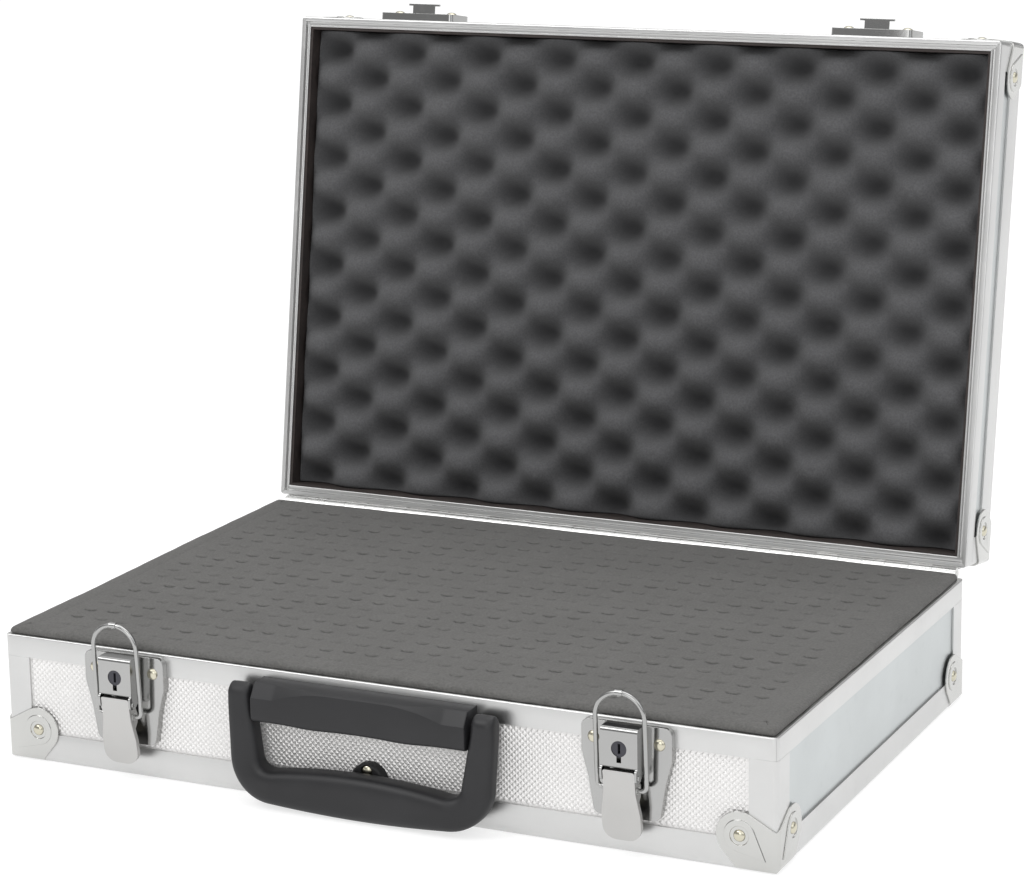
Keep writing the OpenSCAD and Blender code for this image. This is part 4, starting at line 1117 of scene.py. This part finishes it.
@dataclass(frozen=True)
class BaseFoam:
    """The grey block in the base, with rows of small curved cuts and a soft edge over the rim."""

    sizes: CaseSizes
    rows: CutRows = CutRows()
    top: float = 75.1
    low: float = 5.6
    edge: float = 2.0
    step: float = 1.3
    seat: float = 71.15
    corner: float = 1.5
    squareness: float = 10.0
    path_step: float = 2.6
    sample_in: float = 8.0

    def surface(self, x: np.ndarray, y: np.ndarray) -> np.ndarray:
        """The height of the top at each place: slow waves, and a lip behind each cut."""
        slow = 0.25 * np.sin(x / 31.0 + 1.3) * np.sin(y / 27.0 + 0.4) + 0.10 * np.sin(x / 9.7) * np.cos(y / 11.3)
        return self.top + slow - 0.25 + self.rows.lift(x, y)

    def block(self) -> bpy.types.Mesh:
        """The block inside the rim.

        Returns:
            The block, closed underneath.
        """
        half_w, half_d = self.sizes.foam_w / 2, self.sizes.foam_d / 2
        xs = rounded_axis(half_w, self.edge, self.step)
        ys = rounded_axis(half_d, self.edge, self.step)
        x, y = np.meshgrid(xs, ys, indexing="ij")
        reach_x = np.clip(np.abs(x) - (half_w - self.edge), 0, None)
        reach_y = np.clip(np.abs(y) - (half_d - self.edge), 0, None)
        reach = np.minimum(np.hypot(reach_x, reach_y), self.edge)
        z = self.surface(x, y) - self.edge + np.sqrt(np.clip(self.edge**2 - reach**2, 0, None))
        mesh = grid_mesh("base_foam_block", skirted(np.stack([x, y, z], axis=-1), self.low) * MM)
        with editing(mesh) as made:
            bmesh.ops.holes_fill(made, edges=[edge for edge in made.edges if edge.is_boundary])
        return mesh

    def path(self) -> list[tuple[np.ndarray, np.ndarray]]:
        """Follows the block's sides.

        Returns:
            Places once round the block, each with its way out.
        """
        half = np.array([self.sizes.foam_w, self.sizes.foam_d]) / 2 - self.corner
        corners = [half * signs for signs in ((1, -1), (1, 1), (-1, 1), (-1, -1))]
        path = []
        for k, middle in enumerate(corners):
            for angle in np.linspace(math.radians(90 * k - 90), math.radians(90 * k), 11):
                way = np.array([math.cos(angle), math.sin(angle)])
                way = way / (np.abs(way) ** self.squareness).sum() ** (1 / self.squareness)
                path.append((middle + self.corner * way, way))
            start, out = path[-1]
            goal = corners[(k + 1) % 4] + self.corner * out
            count = round(float(np.linalg.norm(goal - start)) / self.path_step)
            path += [(start + (goal - start) * j / count, out) for j in range(1, count)]
        return path

    def border(self) -> bpy.types.Mesh:
        """Makes the edge that swells over the rim, with room underneath for the rim's tongue.

        Returns:
            The edge, closed round the block.
        """
        crown = (
            (-9.0, -0.9, 0.0), (-6.0, 0.0, 0.0), (-3.0, 0.12, 0.0), (0.0, 0.08, 0.0), (2.6, -0.15, 0.0),
            (4.4, -0.5, 0.3), (5.4, -1.2, 0.7), (5.9, -2.2, 1.0), (5.95, -3.2, 1.0),
        )
        under = ((5.55, 0.0), (4.9, 0.0), (4.9, 2.25), (2.9, 2.25), (2.9, 0.0), (-9.0, 0.0))
        inside = np.array([self.sizes.foam_w, self.sizes.foam_d]) / 2 - self.sample_in
        rings = []
        for place, way in self.path():
            s = place[0] + place[1] * 1.3
            swell = 0.2 * math.sin(s / 9.3) + 0.15 * math.sin(s / 4.1 + 1.0) + 0.15 * math.sin(s / 23.0)
            top = float(self.surface(*np.clip(place, -inside, inside))) + 0.12
            ring = []
            for out, drop, share in crown:
                spot = place + way * (out + swell * share)
                ring.append((*spot, top + drop + 0.3 * swell * share))
            ring += [(*(place + way * out), self.seat + rise) for out, rise in under]
            rings.append(ring)
        rings.append(rings[0])
        return grid_mesh("base_foam_border", np.array(rings) * MM, tube=True)

    def build(self, look: bpy.types.Material) -> None:
        """Makes the block and its edge.

        Args:
            look: the foam's material.
        """
        for mesh in (self.block(), self.border()):
            piece = link(mesh, mesh.name)
            outward(piece.data)
            piece.data.shade_smooth()
            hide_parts("base_foam")
            dress(piece, look, Body.BASE.value)
        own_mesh(piece)


@dataclass(frozen=True)
class LidFoam:
    """The dark egg crate foam in the lid."""

    sizes: CaseSizes
    crest_drop: float = 2.4
    crest_h: float = 18.5
    pressed: float = 5.6
    pitch_x: float = 50.8
    pitch_y: float = 33.4
    crest_x: float = -153.0
    crest_y: float = 86.5
    back: float = 108.0
    step: float = 1.8
    pit: float = 1.5
    edge: float = 1.6

    def level(self, x: np.ndarray, y: np.ndarray) -> np.ndarray:
        """How high the foam stands at each place: 1 on its broad crests and 0 in its pits.

        Args:
            x: the places across the case.
            y: the places from the front to the back.

        Returns:
            The heights, from 0 to 1.
        """
        turn = 2 * math.pi
        wave = np.cos(turn * (x - self.crest_x) / self.pitch_x) * np.cos(turn * (y - self.crest_y) / self.pitch_y)
        wander = 0.04 * np.sin(x / 17.0 + y / 29.0) * np.sin(y / 13.0)
        return 1 - np.clip((1 - wave) / 2 + wander, 0, 1) ** self.pit

    def build(self, look: bpy.types.Material) -> None:
        """Makes the foam on the shut lid and turns it open.

        Args:
            look: the foam's material.
        """
        half_w, half_d = self.sizes.foam_w / 2, self.sizes.foam_d / 2
        xs = rounded_axis(half_w, self.edge, self.step)
        ys = rounded_axis(half_d, self.edge, self.step)
        x, y = np.meshgrid(xs, ys, indexing="ij")
        over_x = np.clip(np.abs(x) - (half_w - self.edge), 0, None)
        reach = np.hypot(over_x, np.clip(np.abs(y) - (half_d - self.edge), 0, None))
        level = self.level(x, y)
        z = self.sizes.lid_z + self.crest_drop + self.crest_h * (1 - level)
        z = z + self.edge - np.sqrt(np.clip(self.edge**2 - reach**2, 0, None))
        mesh = grid_mesh("lid_foam_sheet", skirted(np.stack([x, y, z], axis=-1), self.back) * MM, flip=True)
        # Painted shade: the deeper a place lies in a pit, the darker its colour is painted.
        painted_shade = skirted(np.stack([x, y, (1 - level) ** 1.3], axis=-1), 1.0)[..., 2]
        keep_painted_shade(mesh, painted_shade)
        mesh.transform(self.sizes.lid_matrix())
        mesh.shade_smooth()
        piece = link(mesh, mesh.name)
        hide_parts("lid_foam")
        dress(piece, look, Body.LID.value)
        pose = self.sizes.lid_matrix()
        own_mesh(piece)


def blend(first: float, last: float, share: float) -> float:
    """The value between two at a share of the way."""
    return first + (last - first) * share


def ease(share: float) -> float:
    """A share that starts and ends slowly."""
    return share * share * (3 - 2 * share)


@dataclass(frozen=True)
class Ring:
    """One section of the grip."""

    middle: tuple[float, float]
    across: tuple[float, float]
    half_height: float
    half_depth: float
    ahead: float


@dataclass(frozen=True)
class Grip:
    """The folding grip, lofted along its own bend as in the part's source."""

    sizes: CaseSizes = CaseSizes()
    pivot_drop: float = 13.0
    pivot_d: float = 8.0
    arm_w: float = 17.2
    arm_depth: float = 12.0
    grip_drop: float = 70.0
    bar_h: float = 24.2
    bar_end_h: float = 18.2
    bar_depth: float = 16.3
    bar_d: float = 12.05
    sag: float = 0.5
    lift: float = 1.6
    corner: float = 25.0
    arm_rise: float = 7.5
    arm_lean: float = 0.5
    bend_step: float = 2.0
    narrow: float = 3.0
    thin: float = 4.0
    outer_x: float = 77.5
    sides: int = 40

    def rings(self) -> Iterable[Ring]:
        """The sections of the right half, from the bar's middle to the arm's end.

        Returns:
            The sections in order.
        """
        outer_x = self.outer_x
        low_z = self.sizes.base_h - self.grip_drop
        arm_top = self.sizes.base_h - self.pivot_drop + self.arm_rise
        bend_x, bend_z = outer_x - self.corner, low_z + self.corner
        arm_d = self.pivot_d + self.arm_lean
        bend_end = arm_d + self.bend_step
        made = []
        for k in range(30):
            t = k / 30
            tall = blend(self.bar_h, self.bar_end_h, t * t)
            foot = blend(low_z - self.sag, low_z + self.lift, t * t)
            made.append(Ring((bend_x * t, foot + tall / 2), (0, -1), tall / 2, self.bar_depth / 2, self.bar_d))
        for k in range(19):
            t = k / 18
            angle = math.radians(90 * t)
            inner = blend(self.corner - self.bar_end_h, self.corner - self.arm_w, ease(t))
            mid = (self.corner + inner) / 2
            out = (math.sin(angle), -math.cos(angle))
            made.append(
                Ring(
                    (bend_x + mid * out[0], bend_z + mid * out[1] + self.lift * math.cos(angle) ** 2),
                    out,
                    (self.corner - inner) / 2,
                    blend(self.bar_depth, self.arm_depth, t) / 2,
                    blend(self.bar_d, bend_end, ease(t)),
                )
            )
        half_arm = (self.arm_w - self.thin) / 2
        for k in range(1, 13):
            t = k / 12
            height = blend(bend_z, arm_top - self.arm_depth / 2, t)
            half = blend(self.arm_w / 2, half_arm, t)
            made.append(Ring((outer_x - half, height), (1, 0), half, self.arm_depth / 2, blend(bend_end, arm_d, t)))
        for k in range(1, 11):
            angle = math.radians(86 * k / 10)
            made.append(
                Ring(
                    (outer_x - half_arm, arm_top - self.arm_depth / 2 * (1 - math.sin(angle))),
                    (1, 0),
                    half_arm * (0.7 + 0.3 * math.cos(angle)),
                    self.arm_depth / 2 * math.cos(angle),
                    arm_d,
                )
            )
        top = arm_top - self.arm_depth
        for ring in made:
            share = min(1.0, max(0.0, (top - ring.middle[1]) / (top - low_z)))
            pull = self.narrow * share * ring.middle[0] / outer_x
            yield Ring(
                (ring.middle[0] - pull, ring.middle[1]), ring.across, ring.half_height, ring.half_depth, ring.ahead
            )

    def outline(self, ring: Ring) -> list[Point]:
        """The points round one section.

        Args:
            ring: the section.

        Returns:
            Its points in millimetres.
        """
        points = []
        for k in range(self.sides):
            angle = 2 * math.pi * k / self.sides
            c, s = math.cos(angle), math.sin(angle)
            r = (abs(c) ** 3.4 + abs(s) ** 3.4) ** (-1 / 3.4)
            u, v = ring.half_height * r * c, ring.half_depth * r * s
            points.append(
                (
                    ring.middle[0] + u * ring.across[0],
                    -self.sizes.half_d - ring.ahead - v,
                    ring.middle[1] + u * ring.across[1],
                )
            )
        return points

    def mesh(self) -> bpy.types.Mesh:
        """The grip's closed skin.

        Returns:
            The closed mesh.
        """
        right = list(self.rings())
        left = [
            Ring((-r.middle[0], r.middle[1]), (-r.across[0], r.across[1]), r.half_height, r.half_depth, r.ahead)
            for r in right[:0:-1]
        ]
        points = np.array([self.outline(ring) for ring in left + right]) * MM
        mesh = grid_mesh("grip", points, closed=True)
        with editing(mesh) as made:
            bmesh.ops.recalc_face_normals(made, faces=made.faces)
        return mesh

    def build(self, look: bpy.types.Material) -> None:
        """Makes the grip.

        Args:
            look: its material.
        """
        piece = link(self.mesh(), "handle_grip_moulding")
        smooth(piece.data, 45)
        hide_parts("handle_grip")
        dress(piece, look, Body.HANDLE.value)


@dataclass(frozen=True)
class Bracket:
    """The moulded bar that carries the grip: a flat top, and a front that is cut back at both ends."""

    sizes: CaseSizes = CaseSizes()
    length: float = 124.6
    drop: float = 4.0
    height: float = 20.6
    depth: float = 16.0
    cut_back: float = 4.2
    cut_down: float = 6.4
    end_l: float = 13.0
    rise_l: float = 34.0
    step_z: float = 59.0
    wall: float = 1.2
    low_r: float = 3.2
    end_r: float = 0.7
    pieces: int = 96

    def section(self, x: float) -> list[tuple[float, float]]:
        """The outline at one place along the bar, as distances from the case's face and heights.

        Args:
            x: the place, from the bar's middle.

        Returns:
            The outline's points.
        """
        top, low = self.sizes.base_h - self.drop, self.sizes.base_h - self.drop - self.height
        share = min(1.0, max(0.0, (self.length / 2 - self.end_l - abs(x)) / self.rise_l))
        keep = 1 - share * (2 - share)
        belly = 0.7 * math.exp(-(((abs(x) - 27) / 12) ** 2))
        back, down = 0.8 + self.cut_back * keep, 0.8 + self.cut_down * keep
        low -= belly
        r = self.low_r
        front = self.depth - 0.4 * keep
        round_low = [
            (front - r + r * math.sin(math.radians(a)), low + r - r * math.cos(math.radians(a)))
            for a in (75, 60, 45, 30, 15, 0)
        ]
        return [
            (-self.wall, low),
            (-self.wall, self.step_z),
            (0.0, self.step_z),
            (0.0, top),
            (front - back - 0.5, top),
            (front - back, top - 0.12),
            (front - back + 0.4, top - 0.5),
            (front - 0.35, top - down + 0.35),
            (front - 0.08, top - down),
            (front, top - down - 0.5),
            (front, low + r),
            *round_low,
        ]

    def build(self, look: bpy.types.Material) -> None:
        """Makes the bracket.

        Args:
            look: its material.
        """
        half = self.length / 2
        spots = [-half, -half + 0.25, -half + 0.7]
        spots += list(np.linspace(-half + 1.4, half - 1.4, self.pieces))
        spots += [half - 0.7, half - 0.25, half]
        rings = []
        for x in spots:
            past = max(0.0, abs(x) - half + self.end_r)
            shrink = self.end_r - math.sqrt(max(0.0, self.end_r**2 - past**2))
            ring = []
            for d, z in self.section(x):
                d_in = d - shrink if d > 1 else d
                z_mid = self.sizes.base_h - self.drop - self.height / 2
                ring.append((x, -self.sizes.half_d - d_in, z - math.copysign(shrink, z - z_mid) * (d > 1)))
            rings.append(ring)
        mesh = grid_mesh("handle_bracket_moulding", np.array(rings) * MM, closed=True)
        outward(mesh)
        smooth(mesh, 22)
        piece = link(mesh, mesh.name)
        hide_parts("handle_bracket")
        dress(piece, look, Body.BASE.value)


@dataclass(frozen=True)
class WeldBead:
    """The small bead that is left where the bail's wire was closed."""

    bail: str
    side: float
    latch_x: float = 146.5
    radius: float = 1.25
    stretch: Point = (1.25, 0.9, 1.15)
    back: float = 0.2
    under: float = 2.3

    def build(self, look: bpy.types.Material) -> None:
        """Makes the bead under the top of the bail.

        Args:
            look: its material.
        """
        mesh = frame["nodes"][self.bail].data
        top = max((vert.co for vert in mesh.vertices), key=lambda co: co.z)
        made = bmesh.new()
        bmesh.ops.create_icosphere(made, subdivisions=3, radius=self.radius * MM)
        bmesh.ops.transform(made, matrix=Matrix.Diagonal((*self.stretch, 1)), verts=made.verts)
        for vert in made.verts:
            vert.co *= 1 + 0.08 * math.sin(vert.co.x * 2300) * math.cos(vert.co.z * 2900)
        spot = Vector((self.side * self.latch_x * MM, top.y + self.back * MM, top.z - self.under * MM))
        bmesh.ops.transform(made, matrix=Matrix.Translation(spot), verts=made.verts)
        bead = bpy.data.meshes.new(f"{self.bail}_bead")
        made.to_mesh(bead)
        made.free()
        bead.shade_smooth()
        dress(link(bead, bead.name), look, frame["nodes"][self.bail]["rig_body"])


@dataclass(frozen=True)
class Hardware:
    """The handle's bracket, the bumper, the latches, the locks and the strikes."""

    finishes: Finishes
    solids: Solids

    def handle(self) -> None:
        """Makes the grip and dresses the bracket and the bumper."""
        Grip().build(self.finishes.plastic)
        Bracket().build(self.finishes.plastic)
        self.solids.take("bumper", self.finishes.rubber, "bumper_rubber", Edge(0.3, 2, 30))

    def latches(self) -> None:
        """Dresses both latches and their strikes."""
        looks = self.finishes
        for side in ("left", "right"):
            for part, width in (("latch_plate", 0.35), ("lock_housing", 0.25)):
                self.solids.take(f"{side}_{part}", looks.chrome, "latch_chrome", Edge(width, 3, 34))
            self.solids.take(f"{side}_latch_lever", looks.satin, "latch_chrome", Edge(0.3, 3, 34))
            WeldBead(f"{side}_latch_bail", -1.0 if side == "left" else 1.0).build(looks.chrome)
            self.solids.take(f"{side}_latch_bail", looks.chrome, "latch_chrome", Edge(0.12, 2, 60), 45)
            self.solids.take(f"{side}_strike", looks.chrome, "latch_chrome", Edge(0.3, 3, 34))
            self.solids.take(f"{side}_lock_plug", looks.lock, "lock_dark", Edge(0.12, 2, 40))
            self.solids.take(f"{side}_lever_pin", looks.steel, "pin_steel", Edge(0.2, 2, 40))
            self.solids.take(f"{side}_bail_bushes", looks.steel, "pin_steel", Edge(0.1, 1, 40))
            self.solids.take(f"{side}_lock_carrier", looks.steel, "pin_steel", Edge(0.1, 1, 40))

    def rivets(self) -> None:
        """Sets the domed heads of all the rivets."""
        heads = RivetHeads()
        for node in ("base_guard_rivets", "lid_guard_rivets", "bumper_rivets", "strike_rivets"):
            heads.build(node, self.finishes.rivet, "rivet_brass")
        for side in ("left", "right"):
            heads.build(f"{side}_latch_rivets", self.finishes.rivet, "rivet_brass")
        for node in ("hinge_base_rivets", "hinge_lid_rivets"):
            heads.build(node, self.finishes.steel, "hinge_steel")

    def build(self) -> None:
        """Makes all of the hardware."""
        self.handle()
        self.latches()
        self.rivets()


@dataclass(frozen=True)
class Lamp:
    """A soft box."""

    name: str
    place: Point
    target: Point
    size: float
    power: float
    colour: Colour = (1.0, 1.0, 1.0)

    def build(self) -> None:
        """Hangs the lamp."""
        light = bpy.data.lights.new(self.name, "AREA")
        light.energy = self.power
        light.size = self.size
        light.color = self.colour
        lamp = bpy.data.objects.new(self.name, light)
        bpy.context.scene.collection.objects.link(lamp)
        lamp.location = self.place
        aim = Vector(self.target) - Vector(self.place)
        lamp.rotation_euler = aim.to_track_quat("-Z", "Y").to_euler()


@dataclass(frozen=True)
class Studio:
    """A plain pale floor, soft light and the camera of the photograph."""

    floor_half: float = 12.0
    floor_tone: float = 0.40
    floor_glow: float = 0.70
    lens: float = 109.01
    eye: Point = (0.72807, -1.49296, 0.57193)
    turn: Point = (1.331, 0.016, 0.443)

    def floor(self) -> None:
        """Lays the floor."""
        mesh = bpy.data.meshes.new("floor")
        far = self.floor_half
        mesh.from_pydata([(-far, -far, 0), (far, -far, 0), (far, far, 0), (-far, far, 0)], [], [(0, 1, 2, 3)])
        made = link(mesh, "floor")
        shader = Shader("floor_paper")
        tooth = shader.noise(300.0, 3.0)
        paper = shader.finish(Base_Color=(*(self.floor_tone,) * 3, 1), Roughness=0.9 + (tooth - 0.5) * 0.1)
        shader.surface.inputs["Specular IOR Level"].default_value = 0.0
        shader.surface.inputs["Emission Color"].default_value = (1.0, 1.0, 1.0, 1)
        shader.surface.inputs["Emission Strength"].default_value = self.floor_glow
        mesh.materials.append(paper)
        made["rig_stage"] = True

    def light(self) -> None:
        """Hangs the soft boxes and sets the pale surroundings."""
        world = bpy.data.worlds.new("surroundings")
        world.use_nodes = True
        tree = world.node_tree
        way = tree.nodes.new("ShaderNodeTexCoord").outputs["Generated"]
        height = Nodes(tree).parts(way)[2]
        strength = 0.36 + height.ramp(0.3, 0.8) * 0.74 + height.ramp(0.12, 0.0) * 0.3
        tree.links.new(strength.socket, tree.nodes["Background"].inputs["Strength"])
        tree.nodes["Background"].inputs["Color"].default_value = (1.0, 1.0, 1.0, 1)
        bpy.context.scene.world = world
        bpy.context.scene.view_settings.view_transform = "Standard"
        middle = (0.0, 0.0, 0.12)
        for lamp in (
            Lamp("key", (-1.3, -1.7, 2.3), middle, 1.4, 20.0),
            Lamp("fill", (2.0, -1.0, 1.3), middle, 1.6, 7.0, (0.95, 0.98, 1.0)),
            Lamp("front", (0.35, -2.3, 0.9), middle, 1.3, 9.0),
            Lamp("top", (0.1, 0.5, 2.4), middle, 1.8, 14.0),
        ):
            lamp.build()

    def camera(self) -> None:
        """Sets up the camera of the photograph."""
        data = bpy.data.cameras.new("camera")
        data.sensor_width = 36.0
        data.sensor_fit = "HORIZONTAL"
        data.lens = self.lens
        data.clip_end = 50.0
        made = bpy.data.objects.new("camera", data)
        bpy.context.scene.collection.objects.link(made)
        made.location = self.eye
        made.rotation_euler = self.turn
        bpy.context.scene.camera = made

    def build(self) -> None:
        """Sets up the studio."""
        self.floor()
        self.light()
        self.camera()


def main() -> None:
    """Builds the case and the studio, and works out the sizes before and after."""
    logging.basicConfig(level=logging.INFO, format="%(name)s: %(message)s")
    sizes, finishes, solids = CaseSizes(), Finishes(), Solids()
    Studio().build()
    Shell(sizes, finishes, solids).build()
    BaseFoam(sizes).build(finishes.grey_foam)
    LidFoam(sizes).build(finishes.dark_foam)
    Hardware(finishes, solids).build()
    boxes = {"cad": CAD_BOX, "visual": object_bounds()}
    {key: [list(corner) for corner in box] for key, box in boxes.items()}


if __name__ == "__main__":
    main()
